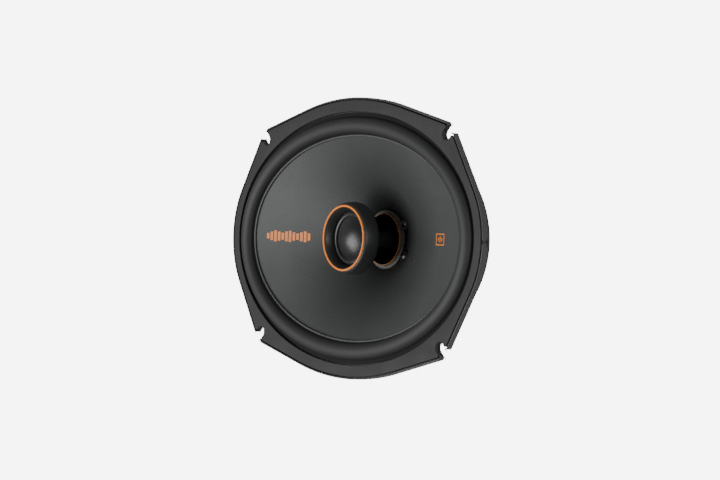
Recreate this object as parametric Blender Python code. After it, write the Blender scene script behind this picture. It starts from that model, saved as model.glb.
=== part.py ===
"""Coaxial car speaker, 6 x 9 inch class, modelled as separate pieces.

Metres. +Z is the speaker's axis and points to the front, +X is the long axis and +Y the short axis.
The origin is the centre of the magnet cover's rear face, so the speaker rests on its magnet.
"""

import math

import bmesh
import bpy

MM = 0.001

# overall sizes, in millimetres
HALF_LENGTH = 117.5
HALF_WIDTH = 82.5
FRONT = 70.5
FLANGE_DEPTH = 3.6
PLATE_TOP = FRONT - 2.4
SIDE_ARC = 55.5
TOP_ARC = 174.0
TAB_TIP_UPPER = (85.6, 65.7)
TAB_TIP_OUTER = (90.5, 60.2)
RIM_WIDTH = 1.0
GROOVE = 0.7
SLOT_WIDTH = 6.0
SLOT_ANGLE = 46.0
SLOT_END = (84.5, 59.2)
GASKET_HOLE = (110.2, 74.2)

# moving system
ROLL_CENTRE = (103.0, 66.3)
ROLL_HALF = 4.6
ROLL_HEIGHT = 4.2
ROLL_BASE = FRONT - 2.15
CONE_EDGE = (98.2, 61.5)
CONE_EDGE_Z = FRONT - 3.0
NECK_RADIUS = 16.1
NECK_Z = FRONT - 30.6
CONE_WALL = 0.7
CONE_CURVE = 0.78
RIM_STEPS = 48
FORMER_INNER = 15.0
FORMER_OUTER = 15.4
SPIDER_Z = 34.3
SPIDER_OUTER = 47.3
LEAD_X = 22.2
LEAD_Y = 9.4
BOARD_Z = 30.2
SHELF_Z = 33.0
FLOOR_Z = 25.0

# motor
COVER_RADIUS = 42.0
COVER_TOP = 19.2
MAGNET_RADIUS = 38.8
MAGNET_BORE = 20.0
BACK_PLATE = (1.6, 6.4)
MAGNET_SPAN = (6.5, 18.5)
TOP_PLATE = (18.6, 23.6)
PLATE_RADIUS = 37.8
GAP_RADIUS = 16.6
POLE_RADIUS = 14.3
POLE_TOP = 24.6
WINDING = (14.6, 27.6)
POST_RADIUS = 5.0
POST_BORE = 2.2

# tweeter
RING_RADIUS = 19.35
RING_Z = FRONT + 4.0
HOUSING_RADIUS = 21.5
HOUSING_BACK = RING_Z - 13.0
DOME_RADIUS = 12.4
DOME_RISE = 4.6
DOME_BASE = RING_Z - 6.6


def rgb(*values):
    return tuple(v / 255.0 for v in values) + (1.0,)


COLOURS = {
    "frame_paint": (rgb(52, 53, 54), 0.55, 0.1),
    "gasket_rubber": (rgb(40, 41, 42), 0.8, 0.0),
    "surround_rubber": (rgb(26, 27, 28), 0.5, 0.0),
    "woven_cone": (rgb(58, 60, 60), 0.6, 0.0),
    "adhesive": (rgb(150, 150, 146), 0.5, 0.0),
    "black_adhesive": (rgb(12, 12, 12), 0.3, 0.0),
    "former_film": (rgb(176, 120, 56), 0.4, 0.0),
    "copper_wire": (rgb(170, 84, 40), 0.35, 1.0),
    "spider_cloth": (rgb(196, 160, 84), 0.9, 0.0),
    "steel": (rgb(150, 152, 156), 0.35, 1.0),
    "ferrite": (rgb(30, 30, 32), 0.7, 0.0),
    "cover_rubber": (rgb(22, 22, 23), 0.7, 0.0),
    "black_plastic": (rgb(18, 18, 19), 0.4, 0.0),
    "orange_paint": (rgb(224, 84, 24), 0.35, 0.0),
    "dome_fabric": (rgb(26, 26, 28), 0.55, 0.0),
    "board_fibre": (rgb(58, 40, 24), 0.7, 0.0),
    "tinned_brass": (rgb(200, 190, 150), 0.3, 1.0),
    "braid": (rgb(150, 130, 110), 0.6, 0.3),
    "capacitor_sleeve": (rgb(28, 44, 110), 0.35, 0.0),
    "wire_red": (rgb(170, 24, 20), 0.4, 0.0),
    "wire_black": (rgb(16, 16, 16), 0.4, 0.0),
    "felt": (rgb(200, 196, 184), 0.95, 0.0),
}


def clear_scene():
    for item in list(bpy.data.objects):
        bpy.data.objects.remove(item, do_unlink=True)


def make_material(name):
    found = bpy.data.materials.get(name)
    if found:
        return found
    colour, roughness, metallic = COLOURS[name]
    material = bpy.data.materials.new(name)
    material.use_nodes = True
    shader = material.node_tree.nodes["Principled BSDF"]
    shader.inputs["Base Color"].default_value = colour
    shader.inputs["Roughness"].default_value = roughness
    shader.inputs["Metallic"].default_value = metallic
    return material


def finish_mesh(name, bm, material):
    """The bmesh as a named object with outward faces."""
    bmesh.ops.recalc_face_normals(bm, faces=bm.faces[:])
    mesh = bpy.data.meshes.new(name)
    bm.to_mesh(mesh)
    bm.free()
    obj = bpy.data.objects.new(name, mesh)
    bpy.context.collection.objects.link(obj)
    if material:
        mesh.materials.append(make_material(material))
    return obj


def join_rings(bm, lower, upper):
    """Faces between two rings of vertices. A ring of one vertex is a point on the axis."""
    if len(lower) == 1 and len(upper) == 1:
        return
    count = max(len(lower), len(upper))
    for i in range(count):
        j = (i + 1) % count
        if len(lower) == 1:
            bm.faces.new((lower[0], upper[j], upper[i]))
        elif len(upper) == 1:
            bm.faces.new((lower[i], lower[j], upper[0]))
        else:
            bm.faces.new((lower[i], lower[j], upper[j], upper[i]))


def loft(name, rings, material):
    """A closed body through rings of points in millimetres, the last ring joined to the first."""
    bm = bmesh.new()
    made = [[bm.verts.new((x * MM, y * MM, z * MM)) for x, y, z in ring] for ring in rings]
    for lower, upper in zip(made, made[1:] + made[:1]):
        join_rings(bm, lower, upper)
    return finish_mesh(name, bm, material)


def revolve(name, profile, material, steps=32, centre=(0.0, 0.0)):
    """A turned body. The profile is a closed line of (radius, height) in millimetres."""
    rings = []
    for radius, height in profile:
        if radius == 0:
            rings.append([(centre[0], centre[1], height)])
            continue
        rings.append(
            [
                (
                    centre[0] + radius * math.cos(2 * math.pi * i / steps),
                    centre[1] + radius * math.sin(2 * math.pi * i / steps),
                    height,
                )
                for i in range(steps)
            ]
        )
    return loft(name, rings, material)


def box(name, low, high, material=None):
    """An upright box between two corners, in millimetres."""
    bm = bmesh.new()
    corners = [(low[0], low[1]), (high[0], low[1]), (high[0], high[1]), (low[0], high[1])]
    bottom = [bm.verts.new((x * MM, y * MM, low[2] * MM)) for x, y in corners]
    top = [bm.verts.new((x * MM, y * MM, high[2] * MM)) for x, y in corners]
    bm.faces.new(bottom[::-1])
    bm.faces.new(top)
    join_rings(bm, bottom, top)
    return finish_mesh(name, bm, material)


def prism(name, outline, low, high, material=None):
    """An upright prism over a plan outline, in millimetres."""
    bm = bmesh.new()
    bottom = [bm.verts.new((x * MM, y * MM, low * MM)) for x, y in outline]
    top = [bm.verts.new((x * MM, y * MM, high * MM)) for x, y in outline]
    bm.faces.new(bottom[::-1])
    bm.faces.new(top)
    join_rings(bm, bottom, top)
    return finish_mesh(name, bm, material)


def smooth_path(points, per_span=4):
    """Points on a curve through the given points, all in millimetres."""
    padded = [points[0]] + list(points) + [points[-1]]
    made = []
    for k in range(len(points) - 1):
        p0, p1, p2, p3 = padded[k : k + 4]
        for step in range(per_span):
            t = step / per_span
            made.append(
                tuple(
                    0.5
                    * (
                        2 * b
                        + (c - a) * t
                        + (2 * a - 5 * b + 4 * c - d) * t * t
                        + (3 * b - a - 3 * c + d) * t ** 3
                    )
                    for a, b, c, d in zip(p0, p1, p2, p3)
                )
            )
    made.append(tuple(points[-1]))
    return made


def tube(name, points, radius, material, sides=5):
    """A round wire along a path, closed at both ends."""
    bm = bmesh.new()
    rings = []
    across = None
    for k, point in enumerate(points):
        before = points[max(k - 1, 0)]
        after = points[min(k + 1, len(points) - 1)]
        along = [b - a for a, b in zip(before, after)]
        size = math.sqrt(sum(v * v for v in along))
        along = [v / size for v in along]
        guide = across if across else ([1.0, 0.0, 0.0] if abs(along[0]) < 0.8 else [0.0, 1.0, 0.0])
        lean = sum(a * b for a, b in zip(guide, along))
        across = [a - lean * b for a, b in zip(guide, along)]
        size = math.sqrt(sum(v * v for v in across))
        across = [v / size for v in across]
        third = [
            along[1] * across[2] - along[2] * across[1],
            along[2] * across[0] - along[0] * across[2],
            along[0] * across[1] - along[1] * across[0],
        ]
        ring = []
        for i in range(sides):
            angle = 2 * math.pi * i / sides
            position = [
                (p + radius * (math.cos(angle) * a + math.sin(angle) * t)) * MM
                for p, a, t in zip(point, across, third)
            ]
            ring.append(bm.verts.new(position))
        rings.append(ring)
    for lower, upper in zip(rings, rings[1:]):
        join_rings(bm, lower, upper)
    bm.faces.new(rings[0][::-1])
    bm.faces.new(rings[-1])
    bmesh.ops.triangulate(bm, faces=bm.faces[:])
    return finish_mesh(name, bm, material)


def cut(target, *cutters):
    """Takes each cutter's volume out of the target and removes the cutter."""
    for cutter in cutters:
        modifier = target.modifiers.new("cut", "BOOLEAN")
        modifier.operation = "DIFFERENCE"
        modifier.solver = "EXACT"
        modifier.object = cutter
        apply_modifiers(target)
        bpy.data.objects.remove(cutter, do_unlink=True)


def apply_modifiers(obj):
    graph = bpy.context.evaluated_depsgraph_get()
    mesh = bpy.data.meshes.new_from_object(obj.evaluated_get(graph))
    old = obj.data
    obj.modifiers.clear()
    obj.data = mesh
    bpy.data.meshes.remove(old)


def quarter_outline():
    """One quarter of the flange's outline, from the long axis round to the short axis, without its slots."""
    side_centre = HALF_LENGTH - SIDE_ARC
    top_centre = HALF_WIDTH - TOP_ARC
    points = []
    reach = tangent_angle((side_centre, 0.0), SIDE_ARC, TAB_TIP_OUTER, -1)
    for k in range(9):
        angle = reach * k / 8
        points.append((side_centre + SIDE_ARC * math.cos(angle), SIDE_ARC * math.sin(angle)))
    points.append(TAB_TIP_OUTER)
    points.append(TAB_TIP_UPPER)
    start = tangent_angle((0.0, top_centre), TOP_ARC, TAB_TIP_UPPER, 1)
    for k in range(7):
        angle = start + (math.pi / 2 - start) * k / 6
        points.append((TOP_ARC * math.cos(angle), top_centre + TOP_ARC * math.sin(angle)))
    return points


def tangent_angle(centre, radius, point, side):
    """Where, on a circle, the line from a point outside it touches."""
    dx, dy = point[0] - centre[0], point[1] - centre[1]
    distance = math.hypot(dx, dy)
    return math.atan2(dy, dx) + side * math.acos(min(1.0, radius / distance))


def flange_radius(angle, inset=0.0):
    """The flange outline's distance from the centre at a plan angle, moved in by inset."""
    quarter = quarter_outline()
    turned = abs(math.remainder(angle, math.pi))
    for (x0, y0), (x1, y1) in zip(quarter, quarter[1:]):
        if math.atan2(y0, x0) - 1e-9 <= turned <= math.atan2(y1, x1) + 1e-9:
            length = math.hypot(x1 - x0, y1 - y0)
            normal = ((y1 - y0) / length, -(x1 - x0) / length)
            offset = x0 * normal[0] + y0 * normal[1] - inset
            return offset / (math.cos(turned) * normal[0] + math.sin(turned) * normal[1])
    return HALF_WIDTH - inset


def plan_angles():
    """The plan angles shared by the flange and the gasket, with the tab tips among them."""
    tips = [math.atan2(y, x) for x, y in (TAB_TIP_OUTER, TAB_TIP_UPPER)]
    quarter = [math.pi / 2 * k / 13 for k in range(14)]
    quarter = [a for a in quarter if min(abs(a - t) for t in tips) > 0.02]
    quarter = sorted(quarter + tips)
    angles = quarter + [math.pi - a for a in quarter[-2::-1]]
    return angles + [a + math.pi for a in angles[1:-1]]


def ellipse_ring(half_x, half_y, height, angles):
    """A ring on an ellipse, at plan angles measured from the centre."""
    ring = []
    for angle in angles:
        radius = 1.0 / math.hypot(math.cos(angle) / half_x, math.sin(angle) / half_y)
        ring.append((radius * math.cos(angle), radius * math.sin(angle), height))
    return ring


def flange_ring(inset, height, angles):
    return [
        (flange_radius(a, inset) * math.cos(a), flange_radius(a, inset) * math.sin(a), height)
        for a in angles
    ]


def even_angles(count):
    return [2 * math.pi * k / count for k in range(count)]


def slot_cutters(extra=0.0):
    """The four slots in the flange's corner tabs, open at the tab's end."""
    half = SLOT_WIDTH / 2 + extra
    made = []
    for sx, sy in ((1, 1), (-1, 1), (-1, -1), (1, -1)):
        along = math.radians(SLOT_ANGLE)
        outline = []
        for k in range(9):
            angle = along + math.pi / 2 + math.pi * k / 8
            outline.append(
                (SLOT_END[0] + half * math.cos(angle), SLOT_END[1] + half * math.sin(angle))
            )
        for side in (-1, 1):
            outline.append(
                (
                    SLOT_END[0] + 16 * math.cos(along) - side * half * math.sin(along),
                    SLOT_END[1] + 16 * math.sin(along) + side * half * math.cos(along),
                )
            )
        outline = [(sx * x, sy * y) for x, y in outline]
        if sx * sy < 0:
            outline.reverse()
        made.append(prism("slot_cutter", outline, FRONT - 8, FRONT + 4))
    return made


# The basket's inner skin, from the flange plate down to the hole in its floor: half length, half width, height.
BASKET_SKIN = [
    (105.8, 69.1, PLATE_TOP),
    (104.0, 67.3, FRONT - 14.5),
    (101.5, 65.5, FRONT - 18.0),
    (53.2, 53.2, SHELF_Z + 0.6),
    (52.0, 52.0, SHELF_Z),
    (43.0, 43.0, SHELF_Z),
    (38.0, 38.0, FLOOR_Z),
    (24.0, 24.0, FLOOR_Z),
]
BASKET_WALL = 1.2
ARM_ANGLES = ((0.0, 15.0), (51.0, 5.5), (129.0, 5.5), (180.0, 15.0), (231.0, 5.5), (309.0, 5.5))


def basket():
    angles = plan_angles()
    bottom = FRONT - FLANGE_DEPTH
    rings = [
        flange_ring(0.0, bottom, angles),
        flange_ring(0.0, FRONT - 0.5, angles),
        flange_ring(0.2, FRONT - 0.2, angles),
        flange_ring(RIM_WIDTH, FRONT - 0.2, angles),
        flange_ring(RIM_WIDTH, PLATE_TOP, angles),
    ]
    rings += [ellipse_ring(a, b, z, angles) for a, b, z in BASKET_SKIN]
    hole = BASKET_SKIN[-1]
    rings.append(ellipse_ring(hole[0], hole[1], hole[2] - BASKET_WALL, angles))
    for a, b, z in reversed(BASKET_SKIN[1:-1]):
        rings.append(ellipse_ring(a + BASKET_WALL, b + BASKET_WALL, z - BASKET_WALL, angles))
    top = BASKET_SKIN[0]
    rings.append(ellipse_ring(top[0] + BASKET_WALL, top[1] + BASKET_WALL, bottom, angles))
    body = loft("basket", rings, "frame_paint")
    windows = loft(
        "windows",
        [
            ellipse_ring(97.5, 63.2, SHELF_Z - 6.0, even_angles(36)),
            ellipse_ring(97.5, 63.2, FRONT - 6.0, even_angles(36)),
            ellipse_ring(56.5, 55.2, FRONT - 6.0, even_angles(36)),
            ellipse_ring(56.5, 55.2, SHELF_Z - 6.0, even_angles(36)),
        ],
        None,
    )
    arms = []
    for angle, half in ARM_ANGLES:
        turn = math.radians(angle)
        ends = ((30.0, -half), (120.0, -half), (120.0, half), (30.0, half))
        outline = [
            (x * math.cos(turn) - y * math.sin(turn), x * math.sin(turn) + y * math.cos(turn))
            for x, y in ends
        ]
        arms.append(prism("arm", outline, SHELF_Z - 8.0, FRONT - 4.0))
    cut(windows, *arms)
    cut(body, windows)
    cut(body, *slot_cutters())
    return body


def gasket():
    angles = plan_angles()
    inset = RIM_WIDTH + GROOVE
    rings = [
        flange_ring(inset, PLATE_TOP + 0.05, angles),
        flange_ring(inset, FRONT - 0.3, angles),
        flange_ring(inset + 0.3, FRONT, angles),
        ellipse_ring(GASKET_HOLE[0] + 0.3, GASKET_HOLE[1] + 0.3, FRONT, angles),
        ellipse_ring(GASKET_HOLE[0], GASKET_HOLE[1], FRONT - 0.3, angles),
        ellipse_ring(GASKET_HOLE[0], GASKET_HOLE[1], PLATE_TOP + 0.05, angles),
    ]
    body = loft("gasket", rings, "gasket_rubber")
    cut(body, *slot_cutters(extra=0.6))
    return body


def roll_line(lift):
    """The half roll of the surround as (outward offset from the roll's centre line, height)."""
    half = ROLL_HALF + lift
    height = ROLL_HEIGHT + lift
    return [
        (half * math.cos(math.pi * k / 6), ROLL_BASE + height * math.sin(math.pi * k / 6))
        for k in range(7)
    ]


def surround():
    angles = even_angles(RIM_STEPS)
    wall = 0.35
    skin = [(6.6, ROLL_BASE + wall), (ROLL_HALF + wall + 0.1, ROLL_BASE + wall)]
    skin += roll_line(wall)[1:-1]
    skin += [(-ROLL_HALF - wall - 0.1, ROLL_BASE + wall - 0.1), (-6.4, CONE_EDGE_Z + 0.45)]
    skin += [(-6.4, CONE_EDGE_Z + 0.1), (-ROLL_HALF + wall - 0.3, CONE_EDGE_Z + 0.3)]
    skin += roll_line(-wall)[1:-1][::-1]
    skin += [(ROLL_HALF - wall + 0.2, ROLL_BASE - wall), (6.6, ROLL_BASE - wall)]
    skin = [(out, max(z, PLATE_TOP + 0.05) if out > 2.5 else z) for out, z in skin]
    rings = [
        ellipse_ring(ROLL_CENTRE[0] + out, ROLL_CENTRE[1] + out, z, angles) for out, z in skin
    ]
    return loft("surround", rings, "surround_rubber")


def cone_ring(share, drop, angles):
    """A ring on the cone, share 0 at the neck and 1 at the edge, drop below the front face."""
    height = NECK_Z + (CONE_EDGE_Z - NECK_Z) * share ** CONE_CURVE - drop
    ring = []
    for x, y, z in ellipse_ring(CONE_EDGE[0], CONE_EDGE[1], height, angles):
        reach = math.hypot(x, y)
        radius = NECK_RADIUS + (reach - NECK_RADIUS) * share
        ring.append((x / reach * radius, y / reach * radius, z))
    return ring


def cone():
    angles = even_angles(RIM_STEPS)
    shares = [0.0, 0.1, 0.3, 0.6, 1.0]
    rings = [cone_ring(s, 0.0, angles) for s in shares]
    rings += [cone_ring(s, CONE_WALL * (1.3 if s < 0.3 else 1.0), angles) for s in reversed(shares)]
    return loft("cone", rings, "woven_cone")


def moving_system():
    surround()
    body = cone()
    for side in (1, -1):
        cut(body, cylinder_cutter(LEAD_X, side * LEAD_Y, 4.0, NECK_Z - 5.0, NECK_Z + 15.0))
    revolve(
        "neck_collar",
        [
            (FORMER_OUTER + 0.1, NECK_Z - 1.8),
            (NECK_RADIUS - 0.15, NECK_Z - 1.6),
            (NECK_RADIUS - 0.15, NECK_Z + 0.4),
            (NECK_RADIUS + 1.5, NECK_Z + 2.2),
            (NECK_RADIUS + 0.9, NECK_Z + 2.9),
            (FORMER_OUTER + 0.4, NECK_Z + 2.9),
            (FORMER_OUTER + 0.1, NECK_Z + 2.2),
        ],
        "adhesive",
    )
    revolve(
        "coil_former",
        [
            (FORMER_INNER, WINDING[0] - 1.0),
            (FORMER_OUTER, WINDING[0] - 1.0),
            (FORMER_OUTER, NECK_Z + 4.4),
            (FORMER_INNER, NECK_Z + 4.4),
        ],
        "former_film",
    )
    revolve(
        "coil_winding",
        [
            (FORMER_OUTER + 0.05, WINDING[0]),
            (FORMER_OUTER + 0.75, WINDING[0]),
            (FORMER_OUTER + 0.75, WINDING[1]),
            (FORMER_OUTER + 0.05, WINDING[1]),
        ],
        "copper_wire",
    )
    spider()
    for name, side in (("positive", 1), ("negative", -1)):
        revolve(
            "lead_joint_" + name,
            [
                (0, NECK_Z - 1.2),
                (1.8, NECK_Z - 0.8),
                (3.2, NECK_Z + 2.2),
                (3.7, NECK_Z + 4.6),
                (3.1, NECK_Z + 6.6),
                (1.5, NECK_Z + 7.6),
                (0, NECK_Z + 7.9),
            ],
            "black_adhesive",
            steps=12,
            centre=(LEAD_X, side * LEAD_Y),
        )


def spider():
    """The corrugated suspension disc, glued to the former inside and to the basket's shelf outside."""
    wall = 0.45
    upper = [(FORMER_OUTER + 0.15, SPIDER_Z + 1.6), (FORMER_OUTER + 1.2, SPIDER_Z + 0.6)]
    crests = 3
    start, end = 19.0, SPIDER_OUTER - 4.6
    for k in range(2 * crests + 1):
        radius = start + (end - start) * k / (2 * crests)
        upper.append((radius, SPIDER_Z + (1.5 if k % 2 else -0.6)))
    upper += [(SPIDER_OUTER - 3.2, SPIDER_Z - 0.5), (SPIDER_OUTER, SPIDER_Z - 0.5)]
    lower = [(r, z - wall) for r, z in upper]
    revolve("spider", upper + lower[::-1], "spider_cloth", steps=28)


def motor():
    revolve(
        "top_plate",
        [
            (GAP_RADIUS, TOP_PLATE[0]),
            (PLATE_RADIUS - 0.5, TOP_PLATE[0]),
            (PLATE_RADIUS, TOP_PLATE[0] + 0.5),
            (PLATE_RADIUS, TOP_PLATE[1] - 0.5),
            (PLATE_RADIUS - 0.5, TOP_PLATE[1]),
            (GAP_RADIUS, TOP_PLATE[1]),
        ],
        "steel",
        steps=36,
    )
    revolve(
        "magnet_ring",
        [
            (MAGNET_BORE, MAGNET_SPAN[0]),
            (MAGNET_RADIUS, MAGNET_SPAN[0]),
            (MAGNET_RADIUS, MAGNET_SPAN[1]),
            (MAGNET_BORE, MAGNET_SPAN[1]),
        ],
        "ferrite",
        steps=36,
    )
    yoke = revolve(
        "pole_yoke",
        [
            (3.4, BACK_PLATE[0]),
            (PLATE_RADIUS - 0.7, BACK_PLATE[0]),
            (PLATE_RADIUS, BACK_PLATE[0] + 0.7),
            (PLATE_RADIUS, BACK_PLATE[1]),
            (POLE_RADIUS, BACK_PLATE[1]),
            (POLE_RADIUS, POLE_TOP - 0.6),
            (POLE_RADIUS - 0.6, POLE_TOP),
            (3.4, POLE_TOP),
        ],
        "steel",
        steps=36,
    )
    cut(yoke, box("wire_slot", (0.0, -2.2, 0.0), (50.0, 2.2, 3.6)))
    cover = revolve(
        "magnet_cover",
        [
            (7.5, 0.0),
            (COVER_RADIUS - 1.6, 0.0),
            (COVER_RADIUS - 0.5, 0.5),
            (COVER_RADIUS, 1.6),
            (COVER_RADIUS, COVER_TOP - 1.0),
            (COVER_RADIUS - 1.0, COVER_TOP),
            (MAGNET_RADIUS + 0.3, COVER_TOP),
            (MAGNET_RADIUS + 0.3, 1.3),
            (7.5, 1.3),
        ],
        "cover_rubber",
        steps=36,
    )
    cut(cover, box("wire_channel", (MAGNET_RADIUS - 1.0, -2.2, 1.3), (COVER_RADIUS - 1.1, 2.2, 25.0)))
    revolve(
        "pole_dust_ring",
        [
            (POST_RADIUS + 1.6, POLE_TOP + 0.05),
            (POLE_RADIUS - 0.8, POLE_TOP + 0.05),
            (POLE_RADIUS - 0.8, POLE_TOP + 1.4),
            (POST_RADIUS + 1.6, POLE_TOP + 1.4),
        ],
        "felt",
    )
    revolve("rear_cap", [(0, 0.2), (7.1, 0.2), (7.1, 1.25), (0, 1.25)], "steel", steps=24)
    for k, angle in enumerate((45.0, 135.0, 225.0, 315.0), start=1):
        turn = math.radians(angle)
        revolve(
            "basket_rivet_%d" % k,
            [
                (0, FLOOR_Z + 0.1),
                (2.4, FLOOR_Z + 0.1),
                (2.2, FLOOR_Z + 0.9),
                (1.2, FLOOR_Z + 1.4),
                (0, FLOOR_Z + 1.5),
            ],
            "steel",
            steps=12,
            centre=(31.0 * math.cos(turn), 31.0 * math.sin(turn)),
        )


def tweeter():
    revolve(
        "tweeter_post",
        [
            (POST_BORE, POLE_TOP + 0.05),
            (POST_RADIUS + 1.4, POLE_TOP + 0.05),
            (POST_RADIUS + 1.4, POLE_TOP + 2.2),
            (POST_RADIUS, POLE_TOP + 3.2),
            (POST_RADIUS, HOUSING_BACK - 2.4),
            (POST_RADIUS + 3.6, HOUSING_BACK - 0.6),
            (POST_RADIUS + 3.6, HOUSING_BACK - 0.05),
            (POST_BORE, HOUSING_BACK - 0.05),
        ],
        "black_plastic",
        steps=28,
    )
    revolve(
        "tweeter_housing",
        [
            (POST_BORE + 0.3, HOUSING_BACK),
            (14.5, HOUSING_BACK),
            (18.6, HOUSING_BACK + 0.7),
            (20.8, HOUSING_BACK + 2.2),
            (HOUSING_RADIUS, HOUSING_BACK + 4.2),
            (21.2, HOUSING_BACK + 8.0),
            (20.4, RING_Z - 1.8),
            (19.5, RING_Z - 0.9),
            (18.1, RING_Z - 0.9),
            (18.1, RING_Z - 8.6),
            (17.0, RING_Z - 10.4),
            (POST_BORE + 0.3, RING_Z - 10.4),
        ],
        "black_plastic",
        steps=36,
    )
    revolve(
        "tweeter_trim_ring",
        [
            (18.15, RING_Z - 0.8),
            (RING_RADIUS, RING_Z - 0.8),
            (RING_RADIUS, RING_Z - 0.25),
            (19.0, RING_Z),
            (18.4, RING_Z),
            (18.15, RING_Z - 0.2),
        ],
        "orange_paint",
        steps=36,
    )
    revolve(
        "tweeter_waveguide",
        [
            (17.9, RING_Z - 0.4),
            (17.2, RING_Z - 1.6),
            (16.5, RING_Z - 3.6),
            (16.0, RING_Z - 6.0),
            (16.0, RING_Z - 7.6),
            (17.9, RING_Z - 7.6),
        ],
        "black_plastic",
        steps=32,
    )
    revolve(
        "tweeter_cup",
        [
            (0, RING_Z - 10.3),
            (16.0, RING_Z - 10.3),
            (16.0, DOME_BASE - 1.4),
            (13.15, DOME_BASE - 1.4),
            (13.15, RING_Z - 9.7),
            (0, RING_Z - 9.7),
        ],
        "steel",
        steps=28,
    )
    revolve(
        "tweeter_magnet",
        [(0, RING_Z - 9.65), (11.0, RING_Z - 9.65), (11.0, RING_Z - 8.45), (0, RING_Z - 8.45)],
        "steel",
        steps=28,
    )
    revolve(
        "tweeter_pole_plate",
        [(0, RING_Z - 8.4), (11.9, RING_Z - 8.4), (11.9, RING_Z - 7.6), (0, RING_Z - 7.6)],
        "steel",
        steps=28,
    )
    revolve(
        "tweeter_coil",
        [
            (12.2, RING_Z - 9.0),
            (12.75, RING_Z - 9.0),
            (12.75, DOME_BASE - 0.45),
            (12.2, DOME_BASE - 0.45),
        ],
        "copper_wire",
        steps=28,
    )
    ball = (DOME_RADIUS ** 2 + DOME_RISE ** 2) / (2 * DOME_RISE)
    dome = []
    for radius_of_skin in (ball, ball - 0.3):
        line = []
        for k in range(6):
            lean = math.asin(DOME_RADIUS / ball) * (1 - k / 5)
            line.append(
                (
                    radius_of_skin * math.sin(lean) if k < 5 else 0,
                    DOME_BASE + DOME_RISE - ball + radius_of_skin * math.cos(lean),
                )
            )
        dome.append(line)
    revolve("tweeter_dome", dome[0] + dome[1][::-1], "dome_fabric", steps=28)
    edge_start = DOME_RADIUS + 0.15
    edge_end = 15.8
    middle = (edge_start + 0.3 + edge_end - 0.5) / 2
    half = middle - edge_start - 0.3
    over = [(edge_end, DOME_BASE)]
    under = [(edge_end, DOME_BASE - 0.25)]
    for k in range(5):
        angle = math.pi * k / 4
        over.append((middle + half * math.cos(angle), DOME_BASE + 1.2 * math.sin(angle)))
        under.append(
            (middle + (half - 0.25) * math.cos(angle), DOME_BASE - 0.25 + 1.2 * math.sin(angle))
        )
    over.append((edge_start, DOME_BASE))
    under.append((edge_start, DOME_BASE - 0.25))
    revolve("tweeter_dome_edge", over + under[::-1], "dome_fabric", steps=28)


def cylinder_cutter(x, y, radius, low, high):
    return revolve("cutter", [(0, low), (radius, low), (radius, high), (0, high)], None, 16, (x, y))


def terminals(body):
    """The terminal board under the basket's shelf, its blades and rivets, and the crossover capacitor."""
    top = BOARD_Z + 1.4
    low, high = BOARD_Z - 10.0, BOARD_Z + 10.0
    board = box("terminal_board", (46.0, -20.5, BOARD_Z), (66.0, 20.5, top), "board_fibre")
    for name, side, width in (("positive", 1, 3.15), ("negative", -1, 2.4)):
        blade = box(
            "terminal_blade_" + name,
            (55.0, side * 10.5 - width, BOARD_Z - 0.85),
            (76.0, side * 10.5 + width, BOARD_Z - 0.05),
            "tinned_brass",
        )
        cut(blade, cylinder_cutter(72.5, side * 10.5, 0.9, low, high))
        cut(blade, cylinder_cutter(59.0, side * 10.5, 1.5, low, high))
        cut(board, cylinder_cutter(59.0, side * 10.5, 1.5, low, high))
        rivet("blade_rivet_" + name, 59.0, side * 10.5, 1.2, BOARD_Z - 0.9, top)
        cut(board, cylinder_cutter(48.0, side * 13.2, 1.4, low, high))
        cut(body, cylinder_cutter(48.0, side * 13.2, 1.4, low, high))
        rivet("board_rivet_" + name, 48.0, side * 13.2, 1.1, BOARD_Z, SHELF_Z)
        lead_in(name, side, top)
    crossover()


def rivet(name, x, y, shank, low, high):
    """A rivet with a head on each side of what it holds."""
    head = shank + 0.9
    profile = [
        (0, low - 0.95),
        (head - 0.5, low - 0.9),
        (head, low - 0.1),
        (shank, low - 0.1),
        (shank, high + 0.1),
        (head, high + 0.1),
        (head - 0.5, high + 0.8),
        (0, high + 0.9),
    ]
    return revolve(name, profile, "tinned_brass", 12, (x, y))


def lead_in(name, side, top):
    """The braided lead from the board to the joint on the cone."""
    path = [
        (22.6, 10.4, NECK_Z - 2.0),
        (30.0, 13.4, NECK_Z - 0.4),
        (40.0, 16.8, NECK_Z + 2.6),
        (50.0, 18.8, NECK_Z + 3.0),
        (57.4, 18.8, NECK_Z - 0.4),
        (61.0, 18.3, top + 3.4),
        (61.6, 18.0, top + 0.4),
    ]
    points = smooth_path([(x, side * y, z) for x, y, z in path], per_span=3)
    tube("tinsel_lead_" + name, points, 0.7, "braid")


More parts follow.
